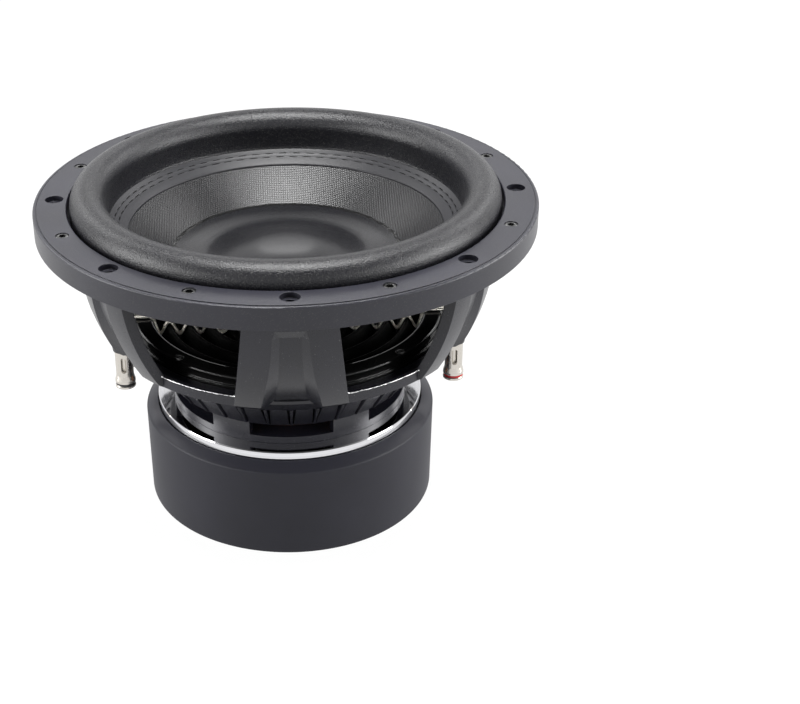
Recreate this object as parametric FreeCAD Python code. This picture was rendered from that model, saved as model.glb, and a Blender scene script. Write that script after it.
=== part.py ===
import FreeCAD, Part
import math
import os
from FreeCAD import Vector

# Long-throw subwoofer driver, millimetres.
# Origin: centre of the back plate's bump face, on the axis. +Z runs up out of the cone.
# One spoke of the basket points to -Y and the terminals stand at +X and -X.

# ---- driving dimensions ---------------------------------------------------------------
# fits
FIT_GAP = 0.3                # clearance between neighbours that must not touch
THREAD_GAP = 0.1             # round a screw in its threaded hole
THREAD_END = 0.5             # threaded hole beyond its screw's end
KEY_SHARE = 1.15             # socket's width to its screw head's radius
KEY_FLOOR = 0.35             # socket's floor as a share of the head's height
HEX_SIDES = 6
SAME_LEVEL = 0.01
SEAT_GAP = 0.3               # clearance of a soft part at its moving seat

# motor
BUMP_RADIUS = 53.0           # flat of the bumped back plate, on which the driver stands
BUMP_HEIGHT = 9.5            # from that flat to the rim of the back plate
BUMP_WALL = 8.0              # metal under the pole's foot
RIM_THICKNESS = 10.0
MAGNET_RADIUS = 88.0
MAGNET_THICKNESS = 26.0
MAGNET_COUNT = 2
PLATE_OVERHANG = 2.0         # plates stand proud of the magnets
TOP_PLATE_THICKNESS = 12.3
TOP_PLATE_STEP = 2.4         # wide lower step of the top plate, bevelled
TOP_PLATE_STEP_HEIGHT = 3.7
TOP_PLATE_BEVEL = 1.6
BOOT_WALL = 5.8              # rubber outside the top plate's step
BOOT_LIP_DROP = 1.4          # boot's outer edge starts this far above the plate's rim
BOOT_ROUND = 1.4
BOOT_TOP_FALL = 1.9          # top of the boot slopes down to its outer edge
BOOT_DRAFT = 0.8             # boot is this much wider at the top
POLE_ABOVE_PLATE = 4.5
POLE_FOOT_HEIGHT = 12.0
POLE_FOOT_CLEARANCE = 3.0    # foot to the magnet's bore
POLE_CHAMFER = 1.5
PLATE_EDGE = 0.6             # chamfer of the top plate's face
MAGNET_CHAMFER = 1.0
BACK_SCREW_COUNT = 12
BACK_SCREW_EDGE = 9.0        # screw circle in from the foot's edge
BACK_SCREW_RADIUS = 2.5
BACK_SCREW_LENGTH = 10.0
BACK_SCREW_HEAD_RADIUS = 4.0
BACK_SCREW_RECESS = 0.6

# voice coil
FORMER_RADIUS = 38.0
FORMER_WALL = 0.5
WINDING_THICKNESS = 1.8
WINDING_HEIGHT = 44.0
POLE_GAP = 1.1
PLATE_GAP = 1.0
MAGNET_BORE_GAP = 7.2        # magnet bore outside the plate bore
FORMER_TAIL = 1.6            # former below the winding
FORMER_STUB = 2.0            # former above the cone's neck
WINDING_INSET = 0.5          # outer winding ends before the inner one

# basket, from the top plate up
SPOKE_COUNT = 6
FOOT_RADIUS = 79.0
FOOT_RING_WIDTH = 15.0
FOOT_RING_HEIGHT = 4.9
POST_WIDTH = 6.5             # radial
POST_HEIGHT = 11.3
POST_ANGLE = 20.0            # width of each post round the axis, degrees
NECK_STEP = 3.5              # neck starts outside the posts
NECK_FLARE = 13.5
NECK_HEIGHT = 19.7
NECK_WALL = 7.0
NECK_SLOTS_PER_SPOKE = 6
SLOT_WIDTH_LOW = 2.6
SLOT_WIDTH_HIGH = 5.8
SLOT_DEPTH = 3.4
SLOT_END = 1.0               # plain neck left at each end of a slot
FIN_PROUD = 1.3              # tapered fin that stands in each slot
FIN_ROOT = 0.8               # its root as a share of the slot's width
FIN_CREST = 0.35             # and its crest
CHANNEL_WIDTH = 1.5          # groove round the neck's shoulder
CHANNEL_DEPTH = 2.0
SHOULDER_WIDTH = 9.5
SHOULDER_RISE = 9.8
SHOULDER_WALL_HEIGHT = 2.2
LEDGE_WIDTH = 11.4
LEDGE_THICKNESS = 4.5
LEDGE_BEVEL = 2.4            # under the bowl's foot
SILL_HEIGHT = 7.8            # band under the windows
SILL_WALL = 3.0
SILL_RECESS = 1.0            # band's face behind the spokes' foot
WINDOW_HEIGHT = 60.2
WINDOW_CORNER = 4.0          # upper corners
WINDOW_CORNER_LOW = 1.2
WINDOW_DEPTH = 22.0          # cutter's reach inside the bowl's foot
SPOKE_WIDTH_LOW = 70.5       # at the ledge
SPOKE_WIDTH_HIGH = 56.4      # at the window's top
SPOKE_DEPTH = 7.0
BRIDGE_HEIGHT = 9.5          # from the window's top to the flange
FLANGE_WIDTH = 22.5          # bowl's top to the flange's edge
BOWL_MID_RISE = 0.43         # share of the bowl's height
BOWL_MID_FLARE = 0.76        # and of its flare that is reached there
FLANGE_ROOT = 5.0            # rounding between bowl and flange
FLANGE_THICKNESS = 5.5
TROUGH_DEPTH_LOW = 12.6      # recess down each spoke
TROUGH_DEPTH_MID = 6.5
TROUGH_DEPTH_HIGH = 3.0
TROUGH_FLOOR_LOW = 21.0
TROUGH_FLOOR_MID = 16.4
TROUGH_FLOOR_HIGH = 12.8
TROUGH_MOUTH_LOW = 40.2
TROUGH_MOUTH_MID = 34.0
TROUGH_MOUTH_HIGH = 23.6
TROUGH_WALL = 3.6
TROUGH_MID_RISE = 20.0       # height of the middle section above the ledge
TROUGH_END = 4.0             # trough ends this far below the window's top
TROUGH_RAMP = 5.4            # height over which its upper end runs out
TROUGH_RUN_OUT = 0.4         # depth left at that end
TROUGH_END_WIDTH = 19.0      # and its floor's width there
TROUGH_OVERCUT = 20.0        # cutter's reach outside the bowl
FOOT_SCREW_COUNT = 6
FOOT_SCREW_RADIUS = 2.5
FOOT_SCREW_LENGTH = 12.0
FOOT_SCREW_HEAD_RADIUS = 3.9
FOOT_SCREW_HEAD_HEIGHT = 4.5

# trim ring and mounting holes
RING_RADIUS = 162.0
RING_WIDTH = 21.5
RING_PLATE = 8.0             # over the surround's rim
RING_SKIRT = 2.3
RING_ROUND = 1.0
RING_GROOVE = 0.7            # fine groove inside the ring's edge
RING_GROOVE_INSET = 2.0
RING_EDGE_DROP = 0.3         # ring's edge lies lower than its face
BOLT_COUNT = 8
BOLT_EDGE = 13.0             # bolt circle in from the ring's edge
BOLT_HOLE_RADIUS = 3.6
COUNTERBORE_RADIUS = 6.0
COUNTERBORE_DEPTH = 3.6
RING_SCREW_COUNT = 8
RING_SCREW_RADIUS = 2.2
RING_SCREW_HEAD_RADIUS = 3.9
RING_SCREW_HEAD_HEIGHT = 3.0
RING_SCREW_RECESS = 0.3

# surround, cone and dust cap
ROLL_GAP = 2.0               # from the trim ring to the roll
ROLL_WIDTH = 23.1
ROLL_RISE = 13.2
ROLL_SIDE = 1.0              # widest part of the roll below the trim ring's face
ROLL_WALL = 3.0
RIM_WIDTH = 11.0             # surround's glued outer rim
RIM_SHEET = 1.8
BAND_WIDTH = 17.5            # stitched band of the surround, glued on the cone's flatter land
BAND_SLOPE = 29.0            # degrees
BAND_SHEET = 1.2
CONE_TUCK = 1.6              # cone edge outside the roll's inner side
CONE_DROP = 12.1             # cone edge below the trim ring's face
CONE_SLOPE = 34.3            # degrees
CONE_SHEET = 1.6
CAP_RADIUS = 74.4
CAP_SHEET = 1.2
CAP_RIDGE_INSET = 14.4
CAP_RIDGE_RISE = 1.4
CAP_VALLEY_INSET = 28.0
CAP_VALLEY_DROP = 3.8
CAP_CROWN = 6.6
CAP_EDGE_SLOPE = 0.25        # cap's slope where it leaves the cone
CAP_SHOULDER = 0.55          # share of the valley's radius where the crown's shoulder is
CAP_SHOULDER_RISE = 0.35     # and the shoulder's height as a share of the crown's

# spider and its clamp ring
SPIDER_WAVES = 4
SPIDER_PITCH = 13.2
SPIDER_SWING = 4.5           # half the height of a corrugation
SPIDER_SHEET = 0.8
SPIDER_LAND = 2.2            # flat between the seat's edge and the first wave
SPIDER_FLAT = 1.6            # flat of each crest and trough
SPIDER_END = 2.0             # last crest to the former, at least
SEAT_WIDTH = 15.5            # ledge in the shoulder that carries the spider
SEAT_DEPTH = 1.9
CLAMP_INSET = 2.0
CLAMP_HEIGHT = 9.4
CLAMP_STEP = 1.3             # lower flange of the clamp ring stands out by this
CLAMP_STEP_HEIGHT = 3.2
CLAMP_BEVEL = 1.0
CLAMP_SCREW_COUNT = 8
CLAMP_SCREW_RADIUS = 1.5
CLAMP_SCREW_HEAD_RADIUS = 2.7
CLAMP_SCREW_HEAD_HEIGHT = 1.8
CLAMP_SCREW_LENGTH = 16.0
CLAMP_SCREW_EDGE = 3.9       # screw circle in from the ring's upper edge

# terminals
TERMINAL_INSET = 6.7         # terminal axis in from the bowl's base radius
TERMINAL_SPREAD = 30.0       # between the two of a pair
TERMINAL_TRAVEL = 5.0
COLLAR_RADIUS = 7.7
COLLAR_TIP_RADIUS = 6.9
COLLAR_HEIGHT = 10.0
COLLAR_BASE = 1.6
COLLAR_TAPER = 5.5           # tapered length at the collar's tip
BOSS_RADIUS = 7.5
COLLAR_POCKET_GAP = 0.9
COLLAR_POCKET_END = 6.0      # pocket runs this far below the collar
SLEEVE_RADIUS = 6.0
SLEEVE_LENGTH = 27.1         # with the coloured ring
SLEEVE_OVERLAP = 1.6         # sleeve's end inside the collar at rest
SLEEVE_BORE = 3.75
SLEEVE_FLARE = 0.9
SLEEVE_FLARE_LENGTH = 5.0
SLEEVE_RIM = 1.6             # straight end of the flare
POST_RADIUS = 3.4
POST_HEAD_RADIUS = 4.5
POST_HEAD_LENGTH = 2.2
POST_PROUD = 2.5             # post's end above its nut
POST_POCKET_GAP = 0.5        # round the post's head
SPRING_POST_GAP = 0.6
SPRING_SIDE_GAP = 0.3
TERMINAL_SLOT_WIDTH = 3.4
TERMINAL_SLOT_LENGTH = 11.5
TERMINAL_SLOT_START = 5.6    # from the sleeve's inner end
WIRE_HOLE_RADIUS = 1.9
COLOUR_RING_HEIGHT = 1.8
COLOUR_RING_INSET = 0.4
CAP_DISC_RADIUS = 6.9
CAP_DISC_HEIGHT = 2.2
CAP_DISC_EDGE = 0.5
NUT_ACROSS = 10.0
NUT_HEIGHT = 3.0

# tinsel leads
LEAD_WIDTH = 4.2
LEAD_THICKNESS = 1.8
LEAD_LIFT = 1.2              # above the cloth it is stitched to
LEAD_OVER_RING = 0.5
LEAD_LUG_GAP = 0.6           # from the terminal's post
LEAD_DROP_GAP = 0.2          # from the spider's seat where the lead drops inside the clamp ring

# ---- worked-out levels and radii ------------------------------------------------------
rim_z = BUMP_HEIGHT
magnet_z = rim_z + RIM_THICKNESS
top_plate_z = magnet_z + MAGNET_COUNT * MAGNET_THICKNESS
plate_face_z = top_plate_z + TOP_PLATE_THICKNESS
post_z = plate_face_z + FOOT_RING_HEIGHT
neck_z = post_z + POST_HEIGHT
shoulder_z = neck_z + NECK_HEIGHT
wall_z = shoulder_z + SHOULDER_RISE
ledge_z = wall_z + SHOULDER_WALL_HEIGHT
floor_z = ledge_z + LEDGE_THICKNESS
sill_z = ledge_z + SILL_HEIGHT
window_top_z = sill_z + WINDOW_HEIGHT
flange_z = window_top_z + BRIDGE_HEIGHT
flange_top_z = flange_z + FLANGE_THICKNESS
rim_sheet_z = flange_top_z + RIM_SHEET
ring_z = rim_sheet_z + RING_PLATE

plate_radius = MAGNET_RADIUS + PLATE_OVERHANG
step_radius = plate_radius + TOP_PLATE_STEP
boot_radius = step_radius + FIT_GAP + BOOT_WALL
pole_radius = FORMER_RADIUS - FORMER_WALL - POLE_GAP
winding_radius = FORMER_RADIUS + WINDING_THICKNESS
plate_bore = winding_radius + PLATE_GAP
magnet_bore = plate_bore + MAGNET_BORE_GAP
pole_foot_radius = magnet_bore - POLE_FOOT_CLEARANCE
back_screw_circle = pole_foot_radius - BACK_SCREW_EDGE
back_head_z = BACK_SCREW_RADIUS + BACK_SCREW_RECESS
gap_middle_z = plate_face_z - TOP_PLATE_THICKNESS / 2

neck_radius = FOOT_RADIUS + NECK_STEP
shoulder_radius = neck_radius + NECK_FLARE
wall_radius = shoulder_radius + CHANNEL_WIDTH + SHOULDER_WIDTH
base_radius = wall_radius + LEDGE_WIDTH
seat_inner = shoulder_radius - NECK_WALL
seat_outer = seat_inner + SEAT_WIDTH
seat_z = floor_z - SEAT_DEPTH
clamp_top_z = seat_z + SPIDER_SHEET + CLAMP_HEIGHT
clamp_outer = seat_outer - FIT_GAP
clamp_screw_circle = clamp_outer - CLAMP_STEP - CLAMP_SCREW_EDGE
foot_screw_circle = FOOT_RADIUS - (FOOT_RING_WIDTH + POST_WIDTH) / 2

ring_inner = RING_RADIUS - RING_WIDTH
flange_radius = RING_RADIUS - RING_SKIRT - FIT_GAP
bowl_top_radius = flange_radius - FLANGE_WIDTH
bowl_root_z = flange_z - FLANGE_ROOT
bowl_mid_z = ledge_z + (flange_z - ledge_z) * BOWL_MID_RISE
bowl_mid_radius = base_radius + (bowl_top_radius - base_radius) * BOWL_MID_FLARE
bolt_circle = RING_RADIUS - BOLT_EDGE
ring_screw_seat = ring_z - RING_SCREW_RECESS - RING_SCREW_HEAD_HEIGHT
roll_outer = ring_inner - ROLL_GAP
roll_inner = roll_outer - ROLL_WIDTH
roll_side_z = ring_z - ROLL_SIDE
cone_edge = roll_inner + ROLL_WALL + CONE_TUCK
cone_edge_z = ring_z - CONE_DROP
band_inner = cone_edge - BAND_WIDTH
slope = math.tan(math.radians(CONE_SLOPE))
band_slope = math.tan(math.radians(BAND_SLOPE))
spoke_pitch = 360.0 / SPOKE_COUNT
FRONT = -90.0                # azimuth of the first spoke
ring_screw_first = FRONT + 180.0 / RING_SCREW_COUNT


def cone_z(radius):
    """Height of the cone's face at a radius."""
    land = min(cone_edge - radius, BAND_WIDTH)
    return cone_edge_z - land * band_slope - (cone_edge - land - radius) * slope


# ---- helpers --------------------------------------------------------------------------
def at(radius, azimuth, z=0.0):
    angle = math.radians(azimuth)
    return Vector(radius * math.cos(angle), radius * math.sin(angle), z)


def outline(start, *steps):
    """Closed face in the XZ plane. A pair is a straight run, a four-tuple an arc's middle and end."""
    edges = []
    here = Vector(start[0], 0, start[1])
    for step in steps + (start,):
        end = Vector(step[-2], 0, step[-1])
        if end.distanceToPoint(here) < SAME_LEVEL ** 2:
            continue
        if len(step) == 4:
            middle = Vector(step[0], 0, step[1])
            edges.append(Part.Arc(here, middle, end).toShape())
        else:
            edges.append(Part.LineSegment(here, end).toShape())
        here = end
    return Part.Face(Part.Wire(edges))


def turned(start, *steps):
    """Solid of revolution about Z of such an outline."""
    return outline(start, *steps).revolve(Vector(0, 0, 0), Vector(0, 0, 1), 360)


def tube(inner, outer, low, high):
    return turned((inner, low), (outer, low), (outer, high), (inner, high))


def rod(radius, low, high, place=Vector(0, 0, 0)):
    return Part.makeCylinder(radius, high - low, Vector(place.x, place.y, low))


def hex_prism(across, low, high, place=Vector(0, 0, 0)):
    corner = across / math.sqrt(3)
    foot = Vector(place.x, place.y, low)
    points = [foot + at(corner, 360.0 * k / HEX_SIDES) for k in range(HEX_SIDES + 1)]
    return Part.Face(Part.makePolygon(points)).extrude(Vector(0, 0, high - low))


def spun(shape, azimuth):
    copy = shape.copy()
    copy.rotate(Vector(0, 0, 0), Vector(0, 0, 1), azimuth)
    return copy


def around(shape, count, first=0.0):
    """Copies of a shape round the axis."""
    return [spun(shape, first + 360.0 * k / count) for k in range(count)]


def socket_screw(head_radius, head_height, radius, length):
    """Socket-head screw with its head's underside at the origin and its shank down -Z."""
    key = hex_prism(head_radius * KEY_SHARE, head_height * KEY_FLOOR, head_height + 1)
    head = rod(head_radius, 0, head_height).cut(key)
    return head.fuse(rod(radius, -length, 0)).removeSplitter()


def screw_holes(radius, circle, count, low, high, first=0.0):
    """Rods round the axis that cut a circle of holes."""
    return around(rod(radius, low, high, Vector(circle, 0, 0)), count, first)


def slab(corners, low_y, high_y):
    """Prism of an XZ polygon between two Y planes."""
    points = [Vector(x, low_y, z) for x, z in corners]
    return Part.Face(Part.makePolygon(points + points[:1])).extrude(Vector(0, high_y - low_y, 0))


# ---- motor ----------------------------------------------------------------------------
def back_plate():
    bore = pole_foot_radius + FIT_GAP
    plate = turned((0, 0), (BUMP_RADIUS, 0), (plate_radius, rim_z), (plate_radius, magnet_z),
                   (bore, magnet_z), (bore, BUMP_WALL), (0, BUMP_WALL))
    shanks = screw_holes(BACK_SCREW_RADIUS + FIT_GAP, back_screw_circle, BACK_SCREW_COUNT, -1, BUMP_WALL + 1)
    heads = screw_holes(BACK_SCREW_HEAD_RADIUS + FIT_GAP, back_screw_circle, BACK_SCREW_COUNT, -1,
                        back_head_z)
    return plate.cut(Part.makeCompound(shanks + heads))


def back_plate_screws():
    screw = socket_screw(BACK_SCREW_HEAD_RADIUS, BACK_SCREW_RADIUS, BACK_SCREW_RADIUS, BACK_SCREW_LENGTH)
    screw.rotate(Vector(0, 0, 0), Vector(1, 0, 0), 180)
    screw.translate(Vector(back_screw_circle, 0, back_head_z))
    return Part.makeCompound(around(screw, BACK_SCREW_COUNT))


def pole_piece():
    foot_top = BUMP_WALL + POLE_FOOT_HEIGHT
    head_z = plate_face_z + POLE_ABOVE_PLATE
    pole = turned((0, BUMP_WALL), (pole_foot_radius, BUMP_WALL), (pole_foot_radius, foot_top),
                  (pole_radius, foot_top), (pole_radius, head_z - POLE_CHAMFER),
                  (pole_radius - POLE_CHAMFER, head_z), (0, head_z))
    reach = back_head_z + BACK_SCREW_LENGTH + THREAD_END
    holes = screw_holes(BACK_SCREW_RADIUS + THREAD_GAP, back_screw_circle, BACK_SCREW_COUNT, BUMP_WALL - 1,
                        reach)
    return pole.cut(Part.makeCompound(holes))


def magnet(index):
    low = magnet_z + index * MAGNET_THICKNESS
    high = low + MAGNET_THICKNESS
    inside = MAGNET_RADIUS - MAGNET_CHAMFER
    return turned((magnet_bore, low), (inside, low), (MAGNET_RADIUS, low + MAGNET_CHAMFER),
                  (MAGNET_RADIUS, high - MAGNET_CHAMFER), (inside, high), (magnet_bore, high))


def top_plate():
    step_z = top_plate_z + TOP_PLATE_STEP_HEIGHT
    plate = turned((plate_bore, top_plate_z), (step_radius, top_plate_z), (step_radius, step_z),
                   (plate_radius, step_z + TOP_PLATE_BEVEL), (plate_radius, plate_face_z - PLATE_EDGE),
                   (plate_radius - PLATE_EDGE, plate_face_z), (plate_bore, plate_face_z))
    first = FRONT + spoke_pitch / 2
    depth = post_z - FOOT_SCREW_LENGTH - THREAD_END
    holes = screw_holes(FOOT_SCREW_RADIUS + THREAD_GAP, foot_screw_circle, FOOT_SCREW_COUNT, depth,
                        plate_face_z + 1, first)
    return plate.cut(Part.makeCompound(holes))


def motor_boot():
    """Rubber boot round the motor, with rounded outer edges and a top that falls outwards."""
    bore = plate_radius + FIT_GAP
    step_bore = step_radius + FIT_GAP
    low = rim_z + FIT_GAP
    low_edge = rim_z + BOOT_LIP_DROP
    step_low = top_plate_z - FIT_GAP
    high = top_plate_z + TOP_PLATE_STEP_HEIGHT - FIT_GAP
    high_edge = high - BOOT_TOP_FALL
    low_radius = boot_radius - BOOT_DRAFT
    bend = BOOT_ROUND * (1 - math.sqrt(0.5))
    return turned((bore, low), (low_radius - BOOT_ROUND, low_edge),
                  (low_radius - bend, low_edge + bend, low_radius, low_edge + BOOT_ROUND),
                  (boot_radius, high_edge - BOOT_ROUND),
                  (boot_radius - bend, high_edge - bend, boot_radius - BOOT_ROUND, high_edge),
                  (step_bore, high), (step_bore, step_low), (bore, step_low))


# ---- basket ---------------------------------------------------------------------------
def bowl_radius(z):
    """Outside radius of the bowl: the arc through its foot, middle and top."""
    arc = Part.Arc(Vector(base_radius, 0, ledge_z), Vector(bowl_mid_radius, 0, bowl_mid_z),
                   Vector(bowl_top_radius, 0, bowl_root_z))
    circle = arc.toShape().Curve
    outward = 1 if circle.Center.x < base_radius else -1
    return circle.Center.x + outward * math.sqrt(circle.Radius ** 2 - (z - circle.Center.z) ** 2)


def basket_shell():
    """Neck, shoulder, bowl and flange as one turned shell."""
    foot_inner = FOOT_RADIUS - FOOT_RING_WIDTH
    post_inner = FOOT_RADIUS - POST_WIDTH
    neck_inner = neck_radius - NECK_WALL
    bend = FLANGE_ROOT * (1 - math.sqrt(0.5))
    bevel_z = ledge_z + LEDGE_BEVEL
    sill_inner = base_radius - SILL_RECESS - SILL_WALL
    bowl_inner = bowl_top_radius - SPOKE_DEPTH
    return turned(
        (foot_inner, plate_face_z), (FOOT_RADIUS, plate_face_z), (FOOT_RADIUS, neck_z),
        (neck_radius, neck_z), (shoulder_radius, shoulder_z), (shoulder_radius, shoulder_z + CHANNEL_DEPTH),
        (shoulder_radius + CHANNEL_WIDTH, shoulder_z + CHANNEL_DEPTH),
        (shoulder_radius + CHANNEL_WIDTH, shoulder_z), (wall_radius, wall_z), (wall_radius, ledge_z),
        (base_radius - LEDGE_BEVEL, ledge_z), (bowl_radius(bevel_z), bevel_z),
        (bowl_mid_radius, bowl_mid_z, bowl_top_radius, bowl_root_z),
        (bowl_top_radius + bend, flange_z - bend, bowl_top_radius + FLANGE_ROOT, flange_z),
        (flange_radius, flange_z), (flange_radius, flange_top_z), (bowl_inner, flange_top_z),
        (bowl_inner, bowl_root_z),
        (bowl_mid_radius - SPOKE_DEPTH, bowl_mid_z, bowl_radius(sill_z) - SPOKE_DEPTH, sill_z),
        (sill_inner, sill_z), (sill_inner, floor_z),
        (seat_outer, floor_z), (seat_outer, seat_z), (seat_inner, seat_z), (seat_inner, shoulder_z),
        (neck_inner, neck_z), (post_inner, neck_z), (post_inner, post_z), (foot_inner, post_z))


def spoke_gap(low_z, high_z):
    """Space between two spokes along +X, with its sides parallel to the spokes."""
    lean = math.radians(spoke_pitch / 2)
    fall = (SPOKE_WIDTH_LOW - SPOKE_WIDTH_HIGH) / (window_top_z - ledge_z)
    near = base_radius - WINDOW_DEPTH
    rows = []
    for z in (low_z, high_z):
        spoke_half = (SPOKE_WIDTH_LOW - fall * (z - ledge_z)) / 2
        near_half = near * math.tan(lean) - spoke_half / math.cos(lean)
        far_half = RING_RADIUS * math.tan(lean) - spoke_half / math.cos(lean)
        corners = [Vector(near, -near_half, z), Vector(near, near_half, z),
                   Vector(RING_RADIUS, far_half, z), Vector(RING_RADIUS, -far_half, z)]
        rows.append(Part.makePolygon(corners + corners[:1]))
    return Part.makeLoft(rows, True, True)


def window_cutter():
    """One window with its rounded corners, along +X."""
    gap = spoke_gap(sill_z, window_top_z)
    for corner, level in ((WINDOW_CORNER, window_top_z), (WINDOW_CORNER_LOW, sill_z)):
        edges = [edge for edge in gap.Edges
                 if abs(edge.CenterOfMass.z - level) < SAME_LEVEL
                 and abs(edge.tangentAt(edge.FirstParameter).x) > 0.5]
        gap = gap.makeFillet(corner, edges)
    return gap


def sill_cutter():
    """Sets the band under one window back behind the spokes, along +X."""
    face = rod(base_radius - SILL_RECESS, ledge_z - 2, sill_z + 2)
    return spoke_gap(ledge_z - 1, sill_z + WINDOW_CORNER_LOW).cut(face)


def trough_section(z, depth, floor, mouth, grow=0.0):
    """Trapezoid across one spoke at a height: floor width inside, mouth width at the bowl's face."""
    outside = bowl_radius(z)
    widening = (mouth - floor) / 2 / depth
    inner = outside - depth - grow
    outer = outside + TROUGH_OVERCUT
    half_inner = floor / 2 + grow
    half_outer = half_inner + (outer - inner) * widening
    corners = [Vector(inner, -half_inner, z), Vector(inner, half_inner, z),
               Vector(outer, half_outer, z), Vector(outer, -half_outer, z)]
    return Part.makePolygon(corners + corners[:1])


def trough_loft(low_z, grow=0.0):
    """Recess of one spoke, or with grow its backing, along +X."""
    mid_z = ledge_z + TROUGH_MID_RISE
    top_z = window_top_z - TROUGH_END
    ramp_z = top_z - TROUGH_RAMP
    end_mouth = TROUGH_END_WIDTH + 2 * TROUGH_RUN_OUT
    low = trough_section(low_z, TROUGH_DEPTH_LOW, TROUGH_FLOOR_LOW, TROUGH_MOUTH_LOW, grow)
    mid = trough_section(mid_z, TROUGH_DEPTH_MID, TROUGH_FLOOR_MID, TROUGH_MOUTH_MID, grow)
    high = trough_section(ramp_z, TROUGH_DEPTH_HIGH, TROUGH_FLOOR_HIGH, TROUGH_MOUTH_HIGH, grow)
    end = trough_section(top_z, TROUGH_RUN_OUT, TROUGH_END_WIDTH, end_mouth, grow)
    run = Part.makeLoft([low, mid, high], True, False)
    return run.fuse(Part.makeLoft([high, end], True, True))


def neck_slot():
    """One tapered slot in the neck and the fin that stands in it, along +X."""
    low_z = neck_z + SLOT_END
    high_z = shoulder_z - SLOT_END
    lean = NECK_FLARE / NECK_HEIGHT

    def wedge(proud, inner_share, outer_share):
        rows = []
        for z, width in ((low_z, SLOT_WIDTH_LOW), (high_z, SLOT_WIDTH_HIGH)):
            face = neck_radius + lean * (z - neck_z)
            inner = width * inner_share / 2
            outer = width * outer_share / 2
            corners = [Vector(face - SLOT_DEPTH, -inner, z), Vector(face - SLOT_DEPTH, inner, z),
                       Vector(face + proud, outer, z), Vector(face + proud, -outer, z)]
            rows.append(Part.makePolygon(corners + corners[:1]))
        return Part.makeLoft(rows, True, True)

    return wedge(FIN_PROUD + 1.0, 1.0, 1.0), wedge(FIN_PROUD, FIN_ROOT, FIN_CREST)


def terminal_places():
    """Azimuths of the four terminals and the radius of their circle."""
    circle = base_radius - TERMINAL_INSET
    half = math.degrees(math.asin(TERMINAL_SPREAD / 2 / circle))
    azimuths = {"right_front": -half, "right_rear": half, "left_rear": 180 - half, "left_front": 180 + half}
    return circle, azimuths


def basket():
    shell = basket_shell()
    troughs = around(trough_loft(ledge_z), SPOKE_COUNT, FRONT)
    backing = trough_loft(ledge_z + LEDGE_THICKNESS / 2, TROUGH_WALL)
    inside = turned((seat_outer, floor_z - 1), (base_radius - 1.0, floor_z - 1),
                    (bowl_radius(window_top_z) - 1.0, window_top_z), (seat_outer, window_top_z))
    backing = backing.common(inside)
    shell = shell.fuse(around(backing, SPOKE_COUNT, FRONT))
    circle, azimuths = terminal_places()
    pocket_radius = COLLAR_RADIUS + COLLAR_POCKET_GAP
    first = FRONT + spoke_pitch / 2
    shell = shell.cut(Part.makeCompound(around(sill_cutter(), SPOKE_COUNT, first)))
    bosses = [rod(BOSS_RADIUS, ledge_z, sill_z, at(circle, a)) for a in azimuths.values()]
    shell = shell.fuse(bosses)
    shell = shell.cut(Part.makeCompound(around(window_cutter(), SPOKE_COUNT, first)))
    shell = shell.cut(Part.makeCompound(troughs))

    count = SPOKE_COUNT * NECK_SLOTS_PER_SPOKE
    slot, fin = neck_slot()
    shell = shell.cut(Part.makeCompound(around(slot, count, FRONT)))
    shell = shell.fuse(around(fin, count, FRONT))

    opening = spoke_pitch - POST_ANGLE
    gap = outline((FOOT_RADIUS - FOOT_RING_WIDTH - 1, post_z), (FOOT_RADIUS + 1, post_z),
                  (FOOT_RADIUS + 1, neck_z), (FOOT_RADIUS - FOOT_RING_WIDTH - 1, neck_z))
    gap = gap.revolve(Vector(0, 0, 0), Vector(0, 0, 1), opening)
    cuts = around(gap, SPOKE_COUNT, FRONT - opening / 2)
    pocket_low = ledge_z - COLLAR_HEIGHT - COLLAR_POCKET_END
    for azimuth in azimuths.values():
        cuts.append(rod(pocket_radius, pocket_low, ledge_z, at(circle, azimuth)))
        cuts.append(rod(POST_RADIUS + FIT_GAP, ledge_z - 1, sill_z + 1, at(circle, azimuth)))
    clamp_tip = clamp_top_z - CLAMP_SCREW_HEAD_HEIGHT - CLAMP_SCREW_LENGTH - THREAD_END
    cuts += screw_holes(BOLT_HOLE_RADIUS, bolt_circle, BOLT_COUNT, flange_z - 1, flange_top_z + 1, FRONT)
    cuts += screw_holes(RING_SCREW_RADIUS + THREAD_GAP, bolt_circle, RING_SCREW_COUNT, flange_z - 1,
                        flange_top_z + 1, ring_screw_first)
    cuts += screw_holes(FOOT_SCREW_RADIUS + FIT_GAP, foot_screw_circle, FOOT_SCREW_COUNT, plate_face_z - 1,
                        post_z + 1, first)
    cuts += screw_holes(CLAMP_SCREW_RADIUS + THREAD_GAP, clamp_screw_circle, CLAMP_SCREW_COUNT, clamp_tip,
                        seat_z + 1, FRONT)
    return shell.cut(Part.makeCompound(cuts)).removeSplitter()


def foot_screws():
    screw = socket_screw(FOOT_SCREW_HEAD_RADIUS, FOOT_SCREW_HEAD_HEIGHT, FOOT_SCREW_RADIUS,
                         FOOT_SCREW_LENGTH)
    screw.translate(Vector(foot_screw_circle, 0, post_z))
    return Part.makeCompound(around(screw, FOOT_SCREW_COUNT, FRONT + spoke_pitch / 2))


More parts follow.
